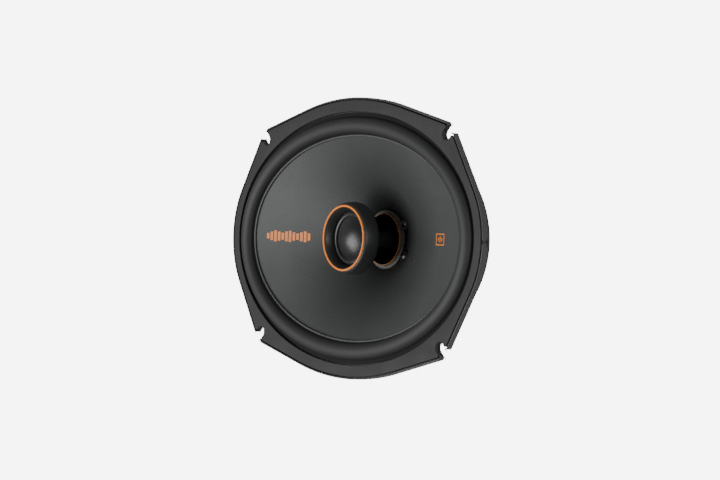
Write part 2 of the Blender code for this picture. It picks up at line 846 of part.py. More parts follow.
def crossover():
    """The capacitor under the board, its two leads, and the tweeter's wires through the post and the motor."""
    centre = (53.0, BOARD_Z - 4.1)
    half = 9.0
    sides = 14
    rings = []
    line = [(0, -half), (2.6, -half), (3.1, -half + 0.6), (3.1, half - 0.6), (2.6, half), (0, half)]
    for radius, along in line:
        ring = [
            (
                centre[0] + radius * math.cos(2 * math.pi * k / sides),
                along,
                centre[1] + radius * math.sin(2 * math.pi * k / sides),
            )
            for k in range(sides if radius else 1)
        ]
        rings.append(ring)
    loft("crossover_capacitor", rings, "capacitor_sleeve")
    for name, side in (("positive", 1), ("negative", -1)):
        bend = [
            (centre[0], side * (half + 0.1), centre[1]),
            (centre[0], side * (half + 1.6), centre[1] + 0.2),
            (centre[0], side * (half + 2.4), centre[1] + 1.4),
            (centre[0], side * (half + 2.4), BOARD_Z - 0.1),
        ]
        tube("capacitor_lead_" + name, smooth_path(bend, per_span=3), 0.4, "steel")
        route = [
            (0.0, side * 0.9, HOUSING_BACK + 1.6),
            (0.0, side * 0.9, 8.0),
            (0.6, side * 0.9, 4.4),
            (3.2, side * 0.9, 2.8),
            (8.0, side * 0.9, 2.6),
            (34.0, side * 0.9, 2.6),
            (38.4, side * 0.9, 2.8),
            (39.8, side * 0.9, 4.4),
            (40.0, side * 0.9, 8.0),
            (40.0, side * 0.9, 18.0),
            (42.0, side * 1.0, 22.5),
            (46.6, side * 1.6, 26.2),
            (47.6, side * 2.0, BOARD_Z - 0.1),
        ]
        colour = "wire_red" if side > 0 else "wire_black"
        tube("tweeter_wire_" + name, smooth_path(route, per_span=2), 0.45, colour)


def main():
    clear_scene()
    body = basket()
    gasket()
    moving_system()
    motor()
    tweeter()
    terminals(body)


main()
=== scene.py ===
"""Looks of the coaxial car speaker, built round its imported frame.

Sizes are in millimetres where a name says so by being multiplied by MM, and the frame is in metres.
"""

import math

import bmesh
import bpy
from mathutils import Matrix, Vector


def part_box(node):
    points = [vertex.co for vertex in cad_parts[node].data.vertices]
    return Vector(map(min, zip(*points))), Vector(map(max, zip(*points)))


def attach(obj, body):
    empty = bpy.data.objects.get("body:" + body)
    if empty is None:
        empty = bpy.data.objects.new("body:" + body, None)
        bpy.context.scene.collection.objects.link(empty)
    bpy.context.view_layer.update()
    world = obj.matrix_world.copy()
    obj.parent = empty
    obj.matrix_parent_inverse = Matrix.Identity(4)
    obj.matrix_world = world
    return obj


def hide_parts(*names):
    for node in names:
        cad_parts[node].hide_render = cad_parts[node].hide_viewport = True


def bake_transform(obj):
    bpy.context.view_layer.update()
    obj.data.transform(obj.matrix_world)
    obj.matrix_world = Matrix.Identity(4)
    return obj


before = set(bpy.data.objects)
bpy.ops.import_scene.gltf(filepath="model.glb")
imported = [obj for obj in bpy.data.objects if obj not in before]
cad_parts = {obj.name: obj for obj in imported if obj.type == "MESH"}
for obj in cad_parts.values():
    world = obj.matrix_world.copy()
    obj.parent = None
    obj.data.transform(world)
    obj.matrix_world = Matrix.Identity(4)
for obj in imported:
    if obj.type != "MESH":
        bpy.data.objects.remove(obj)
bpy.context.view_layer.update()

MM = 0.001

# sizes read from the frame, in millimetres
flange_low, flange_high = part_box("basket")
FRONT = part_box("gasket")[1].z / MM
FLANGE_DEPTH = 3.6
FLANGE_BACK = FRONT - FLANGE_DEPTH
PLATE_TOP = FRONT - 2.4
HALF_LENGTH = flange_high.x / MM
HALF_WIDTH = flange_high.y / MM
RING_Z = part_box("tweeter_trim_ring")[1].z / MM
NECK_Z = FRONT - 30.6

# the flange's plan, as in the frame
SIDE_ARC = 55.5
TOP_ARC = 174.0
TAB_TIP_UPPER = (85.6, 65.7)
TAB_TIP_OUTER = (90.5, 60.2)
RIM_WIDTH = 1.0
GROOVE = 0.7
SLOT_WIDTH = 6.0
SLOT_ANGLE = math.radians(46.0)
SLOT_END = (84.5, 59.2)
GASKET_HOLE = (110.2, 74.2)

# the surround and the cone, as in the frame
ROLL_CENTRE = (103.0, 66.3)
ROLL_HALF = 4.6
ROLL_HEIGHT = 4.2
ROLL_BASE = FRONT - 2.15
CONE_EDGE = (98.2, 61.5)
CONE_EDGE_Z = FRONT - 3.0
NECK_RADIUS = 16.1
CONE_CURVE = 0.78
CONE_WALL = 0.7
FORMER_INNER = 15.0
FORMER_OUTER = 15.4
LEAD_X = 22.2
LEAD_Y = 9.4


# ---------------------------------------------------------------- camera, light and floor

VIEW_TILT = math.radians(51.4)
VIEW_ROLL = math.radians(1.8)
VIEW_DISTANCE = 1.2
LENS = 102.5
AIM_OFFSET_MM = (7.0, -1.1)
WHITE_GLOW = 7.0
WORLD_LIGHT = 0.2
FLOOR_SPAN = 6.0

# lights, in metres and watts
LIGHT_AIM = (0.0, 0.0, 0.06)
KEY_PLACE = (-0.45, -0.32, 1.4)
KEY_SIZE = (1.0, 1.0)
KEY_WATTS = 24.0
SIDE_PLACE = (1.5, 0.1, 0.25)
SIDE_SIZE = (0.5, 0.7)
SIDE_WATTS = 10.0


def new_object(name, data):
    obj = bpy.data.objects.new(name, data)
    bpy.context.scene.collection.objects.link(obj)
    return obj


def polar(radius, angle, x=0.0, y=0.0):
    """The plan point at that radius and angle from (x, y)."""
    return (x + radius * math.cos(angle), y + radius * math.sin(angle))


def make_camera():
    camera = new_object("camera", bpy.data.cameras.new("camera"))
    back = Vector((math.sin(VIEW_TILT), 0.0, math.cos(VIEW_TILT)))
    level = Vector((math.cos(VIEW_TILT), 0.0, -math.sin(VIEW_TILT)))
    upright = Vector((0.0, 1.0, 0.0))
    right = level * math.cos(VIEW_ROLL) + upright * math.sin(VIEW_ROLL)
    up = upright * math.cos(VIEW_ROLL) - level * math.sin(VIEW_ROLL)
    target = Vector((0.0, 0.0, FRONT * MM))
    target += right * AIM_OFFSET_MM[0] * MM + up * AIM_OFFSET_MM[1] * MM
    place = target + back * VIEW_DISTANCE
    camera.matrix_world = Matrix(
        (
            (right.x, up.x, back.x, place.x), (right.y, up.y, back.y, place.y),
            (right.z, up.z, back.z, place.z), (0.0, 0.0, 0.0, 1.0),
        )
    )
    camera.data.lens = LENS
    camera.data.sensor_width = 36.0
    camera.data.clip_start = 0.05
    camera.data.clip_end = 20.0
    bpy.context.scene.camera = camera


def area_light(name, place, size, watts):
    lamp = bpy.data.lights.new(name, "AREA")
    lamp.shape = "RECTANGLE"
    lamp.size, lamp.size_y = size
    lamp.energy = watts
    obj = new_object(name, lamp)
    obj.location = place
    direction = Vector(LIGHT_AIM) - Vector(place)
    obj.rotation_euler = direction.to_track_quat("-Z", "Y").to_euler()


def white_to_the_camera(tree, shader, glow):
    """Adds a plain white glow that only the camera sees, so the ground reads as a white sweep."""
    path = tree.nodes.new("ShaderNodeLightPath")
    light = tree.nodes.new("ShaderNodeEmission")
    light.inputs["Color"].default_value = (1.0, 1.0, 1.0, 1.0)
    light.inputs["Strength"].default_value = glow
    blend = tree.nodes.new("ShaderNodeMixShader")
    tree.links.new(path.outputs["Is Camera Ray"], blend.inputs[0])
    tree.links.new(shader.outputs[0], blend.inputs[1])
    tree.links.new(light.outputs[0], blend.inputs[2])
    return blend


def make_stage():
    mesh = bpy.data.meshes.new("floor")
    corners = [(FLOOR_SPAN * x, FLOOR_SPAN * y, 0.0) for x, y in ((-1, -1), (1, -1), (1, 1), (-1, 1))]
    mesh.from_pydata(corners, [], [(0, 1, 2, 3)])
    floor = new_object("floor", mesh)
    material = bpy.data.materials.new("floor_white")
    material.use_nodes = True
    tree = material.node_tree
    shader = tree.nodes["Principled BSDF"]
    shader.inputs["Base Color"].default_value = (0.9, 0.9, 0.9, 1.0)
    shader.inputs["Roughness"].default_value = 0.9
    shader.inputs["Specular IOR Level"].default_value = 0.1
    shown = white_to_the_camera(tree, shader, WHITE_GLOW)
    tree.links.new(shown.outputs[0], tree.nodes["Material Output"].inputs["Surface"])
    mesh.materials.append(material)
    world = bpy.data.worlds.new("studio")
    bpy.context.scene.world = world
    world.use_nodes = True
    tree = world.node_tree
    background = tree.nodes["Background"]
    background.inputs["Color"].default_value = (0.95, 0.98, 1.0, 1.0)
    background.inputs["Strength"].default_value = WORLD_LIGHT
    shown = white_to_the_camera(tree, background, WHITE_GLOW)
    tree.links.new(shown.outputs[0], tree.nodes["World Output"].inputs["Surface"])


def make_lights():
    area_light("key", KEY_PLACE, KEY_SIZE, KEY_WATTS)
    area_light("side", SIDE_PLACE, SIDE_SIZE, SIDE_WATTS)


# ---------------------------------------------------------------- material helpers


def rgba(red, green, blue):
    """A colour from display values of 0 to 255."""
    linear = []
    for value in (red, green, blue):
        share = value / 255.0
        linear.append(share / 12.92 if share <= 0.04045 else ((share + 0.055) / 1.055) ** 2.4)
    return tuple(linear) + (1.0,)


class Material:
    """A node material under construction. Numbers and links both go in as values."""

    def __init__(self, name, colour, roughness, metallic=0.0):
        self.data = bpy.data.materials.new(name)
        self.data.use_nodes = True
        self.tree = self.data.node_tree
        self.shader = self.tree.nodes["Principled BSDF"]
        self.set("Base Color", colour)
        self.set("Roughness", roughness)
        self.set("Metallic", metallic)

    def node(self, kind, values=None, **settings):
        made = self.tree.nodes.new(kind)
        for key, value in settings.items():
            setattr(made, key, value)
        for key, value in (values or {}).items():
            self.feed(made.inputs[key], value)
        return made

    def feed(self, socket, value):
        if isinstance(value, bpy.types.NodeSocket):
            self.tree.links.new(value, socket)
        else:
            socket.default_value = value

    def set(self, name, value):
        self.feed(self.shader.inputs[name], value)

    def place(self):
        """Object coordinates in millimetres."""
        source = self.node("ShaderNodeTexCoord").outputs["Object"]
        return self.node("ShaderNodeMapping", {"Vector": source, "Scale": (1 / MM,) * 3}).outputs[0]

    def parts(self, here):
        return self.node("ShaderNodeSeparateXYZ", {"Vector": here}).outputs

    def from_axis(self, parts):
        """The distance from the speaker's axis."""
        square = self.math("MULTIPLY", parts["X"], parts["X"])
        return self.math("SQRT", self.math("MULTIPLY_ADD", parts["Y"], parts["Y"], square))

    def wave(self, value, per_mm=1.0):
        return self.math("SINE", self.math("MULTIPLY", value, 2 * math.pi * per_mm))

    def noise(self, scale, detail, vector=None):
        values = {"Scale": scale, "Detail": detail, "Roughness": 0.55}
        values["Vector"] = vector or self.place()
        return self.node("ShaderNodeTexNoise", values).outputs["Fac"]

    def math(self, operation, first, second=0.0, third=0.0):
        made = self.node("ShaderNodeMath", operation=operation)
        for socket, value in zip(made.inputs, (first, second, third)):
            self.feed(socket, value)
        return made.outputs[0]

    def remap(self, value, low, high, new_low, new_high):
        values = {
            "Value": value,
            "From Min": low,
            "From Max": high,
            "To Min": new_low,
            "To Max": new_high,
        }
        return self.node("ShaderNodeMapRange", values).outputs["Result"]

    def mix(self, share, first, second):
        made = self.node("ShaderNodeMix", data_type="RGBA")
        self.feed(made.inputs["Factor"], share)
        for name, value in (("A", first), ("B", second)):
            self.feed([s for s in made.inputs if s.name == name and s.type == "RGBA"][0], value)
        return [s for s in made.outputs if s.type == "RGBA"][0]

    def bump(self, height, distance, strength=1.0):
        values = {"Height": height, "Distance": distance, "Strength": strength}
        self.set("Normal", self.node("ShaderNodeBump", values).outputs["Normal"])


def speckled(name, dark, light, roughness, grain=1.6, depth=0.00004, metallic=0.0, spread=0.08):
    """A moulded, painted or cast surface: a fine grain in height, colour and gloss."""
    made = Material(name, dark, roughness, metallic)
    fine = made.noise(grain, 4.0)
    broad = made.noise(0.06, 2.0)
    share = made.remap(made.math("ADD", fine, broad), 0.7, 1.3, 0.0, 1.0)
    made.set("Base Color", made.mix(share, dark, light))
    made.set("Roughness", made.remap(broad, 0.3, 0.7, roughness - spread, roughness + spread))
    made.bump(fine, depth)
    return made


# ---------------------------------------------------------------- mesh helpers


def add_object(name, mesh, material):
    obj = new_object(name, mesh)
    mesh.materials.append(material.data)
    return obj


def join_rings(bm, lower, upper):
    if len(lower) == 1 and len(upper) == 1:
        return
    count = max(len(lower), len(upper))
    for i in range(count):
        j = (i + 1) % count
        if len(lower) == 1:
            bm.faces.new((lower[0], upper[j], upper[i]))
        elif len(upper) == 1:
            bm.faces.new((lower[i], lower[j], upper[0]))
        else:
            bm.faces.new((lower[i], lower[j], upper[j], upper[i]))


def mesh_object(name, bm, material):
    mesh = bpy.data.meshes.new(name)
    bm.to_mesh(mesh)
    bm.free()
    return add_object(name, mesh, material)


def finish_mesh(name, bm, material, smooth_angle=40.0):
    bmesh.ops.recalc_face_normals(bm, faces=bm.faces[:])
    obj = mesh_object(name, bm, material)
    shade(obj, smooth_angle)
    return obj


def shade(obj, angle=40.0):
    obj.data.shade_smooth()
    obj.data.set_sharp_from_angle(angle=math.radians(angle))


def loft(name, rings, material, smooth_angle=40.0):
    """A closed body through rings of points in millimetres, the last ring joined to the first."""
    bm = bmesh.new()
    made = [[bm.verts.new((x * MM, y * MM, z * MM)) for x, y, z in ring] for ring in rings]
    for lower, upper in zip(made, made[1:] + made[:1]):
        join_rings(bm, lower, upper)
    return finish_mesh(name, bm, material, smooth_angle)


def corner_arc(before, here, after, size, steps):
    """An arc-like curve that cuts a corner, starting and ending the given size away from it."""
    ends = []
    for other in (before, after):
        length = math.dist(here, other)
        share = min(size, length * 0.45) / length
        ends.append([h + (o - h) * share for h, o in zip(here, other)])
    made = []
    for step in range(steps + 1):
        t = step / steps
        parts = zip(ends[0], here, ends[1])
        made.append(tuple((1 - t) ** 2 * a + 2 * t * (1 - t) * h + t * t * b for a, h, b in parts))
    return made


def round_profile(points, radius, steps=4):
    """A closed (across, up) outline with each corner rounded by an arc-like curve."""
    made = []
    count = len(points)
    for k in range(count):
        here = points[k]
        size = radius[k] if isinstance(radius, (list, tuple)) else radius
        if here[0] == 0 or size <= 0:
            made.append(here)
        else:
            made += corner_arc(points[k - 1], here, points[(k + 1) % count], size, steps)
    return made


def circle(x, y, radius, count=32):
    turns = [2 * math.pi * k / count for k in range(count)]
    return [polar(radius, turn, x, y) for turn in turns]


def ring_of(radius, height, steps, centre=(0.0, 0.0)):
    """A level ring of points, or a single point on the centre when the radius is 0."""
    return [(x, y, height) for x, y in circle(*centre, radius, steps if radius else 1)]


def revolve(name, profile, material, steps=128, centre=(0.0, 0.0), smooth_angle=40.0):
    """A turned body from a closed line of (radius, height) in millimetres."""
    rings = [ring_of(radius, height, steps, centre) for radius, height in profile]
    return loft(name, rings, material, smooth_angle)


def turned(name, profile, material, slot, node, steps, angle=40.0, body="frame", centre=(0, 0)):
    """A turned piece that stands for one node of the frame."""
    stands_for(revolve(name, profile, material, steps, centre, angle), body, slot, node)


def stands_for(obj, body, slot, *nodes):
    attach(obj, body)
    if nodes:
        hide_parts(*nodes)
    return obj


make_camera()
make_stage()
make_lights()


# ---------------------------------------------------------------- outlines of the flange


def tangent_angle(centre, radius, point, side):
    """Where, on a circle, the line from a point outside it touches."""
    dx, dy = point[0] - centre[0], point[1] - centre[1]
    return math.atan2(dy, dx) + side * math.acos(radius / math.hypot(dx, dy))


def dot(first, second):
    return sum(a * b for a, b in zip(first, second))


def meeting(first, second):
    """Where two lines cross, each given as (normal, distance along it)."""
    (a, b), c = first
    (d, e), f = second
    size = a * e - b * d
    return ((c * e - b * f) / size, (a * f - c * d) / size)


def fillet(before, here, after, radius, steps=8):
    """A round corner of that radius between two straight edges."""
    first = Vector(before) - Vector(here)
    last = Vector(after) - Vector(here)
    first.normalize()
    last.normalize()
    half = first.angle(last) / 2
    reach = radius / math.tan(half)
    centre = Vector(here) + (first + last).normalized() * (radius / math.sin(half))
    start = Vector(here) + first * reach - centre
    end = Vector(here) + last * reach - centre
    made = []
    for k in range(steps + 1):
        share = k / steps
        arm = start.slerp(end, share).normalized() * radius
        made.append(tuple(centre + arm))
    return made


def flange_quarter(inset, slot_half, tip_radius):
    """The flange's edge from +X round to the slot, the slot's own edge, and on from the slot to +Y."""
    side_centre = (HALF_LENGTH - SIDE_ARC, 0.0)
    top_centre = (0.0, HALF_WIDTH - TOP_ARC)
    side_end = tangent_angle(side_centre, SIDE_ARC, TAB_TIP_OUTER, -1)
    top_start = tangent_angle(top_centre, TOP_ARC, TAB_TIP_UPPER, 1)
    outer_normal = polar(1.0, side_end)
    upper_normal = polar(1.0, top_start)
    outer_edge = (outer_normal, dot(outer_normal, TAB_TIP_OUTER) - inset)
    upper_edge = (upper_normal, dot(upper_normal, TAB_TIP_UPPER) - inset)
    across = (math.sin(SLOT_ANGLE), -math.cos(SLOT_ANGLE))
    middle = dot(across, SLOT_END)
    outer_corner = meeting(outer_edge, (across, middle + slot_half))
    upper_corner = meeting(upper_edge, (across, middle - slot_half))
    side = []
    for k in range(49):
        side.append(polar(SIDE_ARC - inset, side_end * k / 48, *side_centre))
    top = []
    for k in range(41):
        top.append(polar(TOP_ARC - inset, top_start + (math.pi / 2 - top_start) * k / 40, *top_centre))
    slot = []
    for k in range(17):
        slot.append(polar(slot_half, SLOT_ANGLE - math.pi / 2 - math.pi * k / 16, *SLOT_END))
    side += fillet(side[-1], outer_corner, slot[0], tip_radius)
    top = fillet(slot[-1], upper_corner, top[0], tip_radius) + top
    return side, slot, top


def flange_outline(inset, slot_half, tip_radius):
    side, slot, top = flange_quarter(inset, slot_half, tip_radius)
    quarter = side + slot + top
    half = quarter + [(-x, y) for x, y in quarter[-2::-1]]
    return half + [(x, -y) for x, y in half[-2:0:-1]]


def lip_outlines(inner_inset, slot_half, tip_radius):
    """The four bands of the flange's raised lip, from slot to slot."""
    outer_side, _, outer_top = flange_quarter(0.0, slot_half, tip_radius)
    inner_side, _, inner_top = flange_quarter(inner_inset, slot_half, tip_radius * 0.6)
    notch = [(HALF_LENGTH, -1.3), (HALF_LENGTH - 0.75, 0.0), (HALF_LENGTH, 1.3)]
    outer = [(x, -y) for x, y in outer_side[:1:-1]] + notch + outer_side[2:]
    inner = [(x, -y) for x, y in inner_side[:0:-1]] + inner_side
    band = outer + inner[::-1]
    plain = [(x, -y) for x, y in outer_side[:0:-1]] + outer_side
    left = [(-x, y) for x, y in plain + inner[::-1]]
    outer = outer_top + [(-x, y) for x, y in outer_top[-2::-1]]
    inner = inner_top + [(-x, y) for x, y in inner_top[-2::-1]]
    upper = outer + inner[::-1]
    return [band, left, upper, [(x, -y) for x, y in upper]]


def ellipse(half_x, half_y, count=240):
    return [
        (half_x * math.cos(2 * math.pi * k / count), half_y * math.sin(2 * math.pi * k / count))
        for k in range(count)
    ]


def plate(name, outlines, low, high, bevel, material, smooth_angle=16.0):
    """A flat plate with round edges over plan outlines. An outline inside another is a hole."""
    curve = bpy.data.curves.new(name, "CURVE")
    curve.dimensions = "2D"
    curve.fill_mode = "BOTH"
    curve.bevel_depth = bevel * MM
    curve.bevel_resolution = 3
    curve.offset = -bevel * MM
    curve.extrude = ((high - low) / 2 - bevel) * MM
    for outline in outlines:
        spline = curve.splines.new("POLY")
        spline.points.add(len(outline) - 1)
        for point, (x, y) in zip(spline.points, outline):
            point.co = (x * MM, y * MM, 0.0, 1.0)
        spline.use_cyclic_u = True
    maker = new_object(name + "_maker", curve)
    graph = bpy.context.evaluated_depsgraph_get()
    mesh = bpy.data.meshes.new_from_object(maker.evaluated_get(graph))
    bpy.data.objects.remove(maker, do_unlink=True)
    mesh.transform(Matrix.Translation((0.0, 0.0, (low + high) / 2 * MM)))
    mesh.name = name
    obj = add_object(name, mesh, material)
    weld(obj)
    shade(obj, smooth_angle)
    return obj


def weld(obj, distance=0.000002):
    bm = bmesh.new()
    bm.from_mesh(obj.data)
    bmesh.ops.remove_doubles(bm, verts=bm.verts[:], dist=distance)
    bmesh.ops.recalc_face_normals(bm, faces=bm.faces[:])
    bm.to_mesh(obj.data)
    bm.free()


def joined(name, *objects):
    """One object from several that share their material."""
    bm = bmesh.new()
    for obj in objects:
        bm.from_mesh(obj.data)
    mesh = bpy.data.meshes.new(name)
    bm.to_mesh(mesh)
    bm.free()
    for material in objects[0].data.materials:
        mesh.materials.append(material)
    for obj in objects:
        bpy.data.objects.remove(obj, do_unlink=True)
    whole = new_object(name, mesh)
    return whole


def cut(target, cutter):
    modifier = target.modifiers.new("cut", "BOOLEAN")
    modifier.operation = "DIFFERENCE"
    modifier.solver = "EXACT"
    modifier.object = cutter
    graph = bpy.context.evaluated_depsgraph_get()
    mesh = bpy.data.meshes.new_from_object(target.evaluated_get(graph))
    target.modifiers.clear()
    target.data = mesh
    bpy.data.objects.remove(cutter, do_unlink=True)


def ellipse_radius(half_x, half_y, angle):
    return 1.0 / math.hypot(math.cos(angle) / half_x, math.sin(angle) / half_y)


def ellipse_ring(half_x, half_y, height, count=144):
    ring = []
    for k in range(count):
        angle = 2 * math.pi * k / count
        radius = ellipse_radius(half_x, half_y, angle)
        ring.append((*polar(radius, angle), height))
    return ring


def soften(points, radius, steps=4):
    """An open line with its corners rounded."""
    made = [tuple(points[0])]
    for corner in zip(points, points[1:], points[2:]):
        made += corner_arc(*corner, radius, steps)
    made.append(tuple(points[-1]))
    return made


def smooth_path(points, per_span=8):
    """Points on a curve through the given points."""
    padded = [points[0]] + list(points) + [points[-1]]
    made = []
    for k in range(len(points) - 1):
        p0, p1, p2, p3 = padded[k : k + 4]
        for step in range(per_span):
            t = step / per_span
            made.append(
                tuple(
                    0.5
                    * (
                        2 * b
                        + (c - a) * t
                        + (2 * a - 5 * b + 4 * c - d) * t * t
                        + (3 * b - a - 3 * c + d) * t ** 3
                    )
                    for a, b, c, d in zip(p0, p1, p2, p3)
                )
            )
    made.append(tuple(points[-1]))
    return made


def tube(name, points, radius, material, sides=14):
    """A round wire along a path, closed at both ends. The radius may be a function of the share."""
    bm = bmesh.new()
    rings = []
    across = Vector((0.0, 1.0, 0.0))
    count = len(points) - 1
    for k, point in enumerate(points):
        along = Vector(points[min(k + 1, count)]) - Vector(points[max(k - 1, 0)])
        along.normalize()
        if abs(across.dot(along)) > 0.95:
            across = Vector((1.0, 0.0, 0.0))
        across = (across - along * across.dot(along)).normalized()
        third = along.cross(across)
        size = radius(k / count) if callable(radius) else radius
        ring = []
        for i in range(sides):
            angle = 2 * math.pi * i / sides
            offset = across * math.cos(angle) + third * math.sin(angle)
            ring.append(bm.verts.new((Vector(point) + offset * size) * MM))
        rings.append(ring)
    for lower, upper in zip(rings, rings[1:]):
        join_rings(bm, lower, upper)
    bm.faces.new(rings[0][::-1])
    bm.faces.new(rings[-1])
    return finish_mesh(name, bm, material)


# ---------------------------------------------------------------- materials

BLACK = rgba(14, 14, 15)
TWILL_PER_MM = 0.8
TURNS_PER_MM = 3.3

FRAME_PAINT = speckled("frame_paint", rgba(40, 41, 42), rgba(53, 54, 55), 0.55, 2.2, 0.00002)
GASKET = speckled("gasket_rubber", rgba(40, 40, 39), rgba(50, 50, 49), 0.75, 1.2, 0.00004)
PLASTIC = speckled("black_plastic", rgba(38, 39, 39), rgba(49, 50, 50), 0.42, 2.4, 0.00001, 0.0, 0.05)
COVER = speckled("cover_rubber", rgba(22, 22, 23), rgba(32, 32, 33), 0.6, 0.9, 0.00005)
STEEL = speckled("steel", rgba(150, 152, 156), rgba(176, 178, 182), 0.34, 1.2, 0.00001, 1.0)
FERRITE = speckled("ferrite", rgba(34, 34, 36), rgba(48, 48, 50), 0.6, 1.0, 0.00005)
BOARD = speckled("board_fibre", rgba(52, 34, 18), rgba(74, 50, 28), 0.62, 1.4, 0.00002)
BRASS = speckled("tinned_brass", rgba(190, 184, 160), rgba(214, 208, 186), 0.28, 0.8, 0.00001, 1.0)
ORANGE = speckled("orange_paint", rgba(232, 118, 20), rgba(246, 142, 36), 0.5, 1.0, 0.000003)
SLEEVE = speckled("capacitor_sleeve", rgba(16, 28, 92), rgba(28, 44, 120), 0.3, 0.4, 0.000005)
RED_WIRE = speckled("wire_red", rgba(150, 18, 14), rgba(182, 30, 22), 0.35, 0.6, 0.000005)
BLACK_WIRE = speckled("wire_black", rgba(14, 14, 14), rgba(24, 24, 24), 0.35, 0.6, 0.000005)
BLOB = speckled("black_adhesive", rgba(5, 5, 6), rgba(9, 9, 10), 0.34, 0.35, 0.00008, 0.0, 0.04)
BEAD = speckled("adhesive", rgba(66, 65, 62), rgba(98, 96, 90), 0.4, 0.5, 0.00006)
FELT = speckled("felt", rgba(24, 24, 24), rgba(36, 36, 36), 0.95, 3.0, 0.0002)


def woven_material():
    """Fine twill: two sets of crossing threads, slanting across the cone, with painted shade darkening
    it towards the neck.
    """
    made = Material("woven_cone", BLACK, 0.5)
    here = made.place()
    parts = made.parts(here)
    lean = made.math("MULTIPLY", parts["X"], TWILL_PER_MM * 0.8)
    rise = made.math("MULTIPLY", parts["Y"], TWILL_PER_MM)
    one = made.wave(made.math("ADD", lean, rise))
    two = made.wave(made.math("SUBTRACT", lean, rise))
    weave = made.math("MULTIPLY_ADD", two, 0.45, one)
    share = made.remap(weave, -1.4, 1.4, 0.0, 1.0)
    broad = made.noise(0.05, 2.0, here)
    threads = made.mix(share, rgba(44, 46, 46), rgba(87, 90, 89))
    stained = made.mix(made.remap(broad, 0.3, 0.7, 0.0, 0.3), threads, rgba(56, 58, 58))
    reach = made.from_axis(parts)
    # painted shade: near black close to the neck, fading out by 72 mm from the axis, for the shade round
    # the neck
    neck_painted_shade = made.remap(reach, 18.0, 72.0, 0.95, 0.0)
    made.set("Base Color", made.mix(neck_painted_shade, stained, rgba(15, 16, 16)))
    made.set("Specular IOR Level", 0.32)
    made.set("Roughness", made.remap(share, 0.0, 1.0, 0.60, 0.46))
    made.bump(share, 0.00006, 0.8)
    return made


def former_material():
    """Amber film outside, painted near black inside for the shade within the neck."""
    made = Material("former_film", BLACK, 0.35)
    here = made.place()
    parts = made.parts(here)
    reach = made.from_axis(parts)
    outside = made.remap(reach, FORMER_INNER + 0.03, FORMER_INNER + 0.12, 0.0, 1.0)
    grain = made.noise(0.5, 4.0, here)
    film = made.mix(grain, rgba(150, 88, 36), rgba(206, 142, 76))
    # painted shade: the inner face is near black for the shade inside the neck
    made.set("Base Color", made.mix(outside, rgba(10, 9, 8), film))
    made.bump(grain, 0.00001)
    return made


def surround_material():
    """Satin rubber, dull at the foot of the roll and painted near black there as shade in the creases.
    """
    made = Material("surround_rubber", BLACK, 0.6)
    here = made.place()
    fine = made.noise(1.8, 4.0, here)
    # painted shade: near black at the foot of the roll, fading out between 0.5 and 2 mm up it
    foot_shade_mask = made.remap(made.parts(here)["Z"], ROLL_BASE + 0.5, ROLL_BASE + 2.0, 0.0, 1.0)
    rubber = made.mix(fine, rgba(34, 34, 34), rgba(43, 43, 43))
    made.set("Base Color", made.mix(foot_shade_mask, rgba(6, 6, 6), rubber))
    made.set("Roughness", made.remap(foot_shade_mask, 0.0, 1.0, 0.9, 0.62))
    made.bump(fine, 0.00001)
    return made


def cloth_material(name, dark, light, threads_per_mm, roughness, depth=0.00005):
    made = Material(name, dark, roughness)
    here = made.place()
    parts = made.parts(here)
    one = made.wave(parts["X"], threads_per_mm)
    two = made.wave(parts["Y"], threads_per_mm)
    share = made.remap(made.math("MULTIPLY", one, two), -1.0, 1.0, 0.0, 1.0)
    grain = made.noise(0.8, 4.0, here)
    made.set("Base Color", made.mix(made.math("MULTIPLY", share, grain), dark, light))
    made.bump(share, depth, 0.7)
    return made


def braid_material():
    made = Material("braid", rgba(150, 118, 84), 0.45, 0.6)
    parts = made.parts(made.place())
    lean = made.math("ADD", parts["X"], made.math("MULTIPLY", parts["Z"], 1.4))
    back = made.math("SUBTRACT", parts["X"], made.math("MULTIPLY", parts["Y"], 1.4))
    one = made.wave(lean)
    two = made.wave(back)
    share = made.remap(made.math("MULTIPLY", one, two), -1.0, 1.0, 0.0, 1.0)
    made.set("Base Color", made.mix(share, rgba(84, 60, 40), rgba(190, 156, 118)))
    made.bump(share, 0.0001, 0.8)
    return made


def winding_material():
    made = Material("copper_wire", rgba(150, 74, 34), 0.3, 1.0)
    turns = made.wave(made.parts(made.place())["Z"], TURNS_PER_MM)
    share = made.remap(turns, -1.0, 1.0, 0.0, 1.0)
    made.set("Base Color", made.mix(share, rgba(96, 40, 18), rgba(196, 104, 52)))
    made.bump(share, 0.0001, 0.9)
    return made


CONE = woven_material()
FORMER = former_material()
SURROUND = surround_material()
RIM = speckled("surround_lip", rgba(58, 58, 58), rgba(72, 72, 72), 0.5, 1.8, 0.00001)
SPIDER = cloth_material("spider_cloth", rgba(150, 116, 56), rgba(214, 180, 110), 0.9, 0.9)
DOME = cloth_material("dome_fabric", rgba(20, 20, 22), rgba(34, 34, 37), 3.0, 0.34, 0.00001)
DOME.set("Sheen Weight", 0.15)
BRAID = braid_material()
WINDING = winding_material()


# ---------------------------------------------------------------- basket and gasket

SLOT_HALF = SLOT_WIDTH / 2
TIP_RADIUS = 1.5
SHELF_Z = 33.0
FLOOR_Z = 25.0
BASKET_WALL = 1.2
FLANGE_HOLE = (105.8, 69.1)
BASKET_SKIN = [
    (*FLANGE_HOLE, PLATE_TOP - 0.1), (104.0, 67.3, FRONT - 14.5), (101.5, 65.5, FRONT - 18.0),
    (53.2, 53.2, SHELF_Z + 0.6), (52.0, 52.0, SHELF_Z), (43.0, 43.0, SHELF_Z), (38.0, 38.0, FLOOR_Z),
    (24.0, 24.0, FLOOR_Z),
]
WINDOW_OUTER = (97.5, 63.2)
WINDOW_INNER = (56.5, 55.2)
ARMS = ((0.0, 15.0), (51.0, 5.5), (129.0, 5.5), (180.0, 15.0), (231.0, 5.5), (309.0, 5.5))


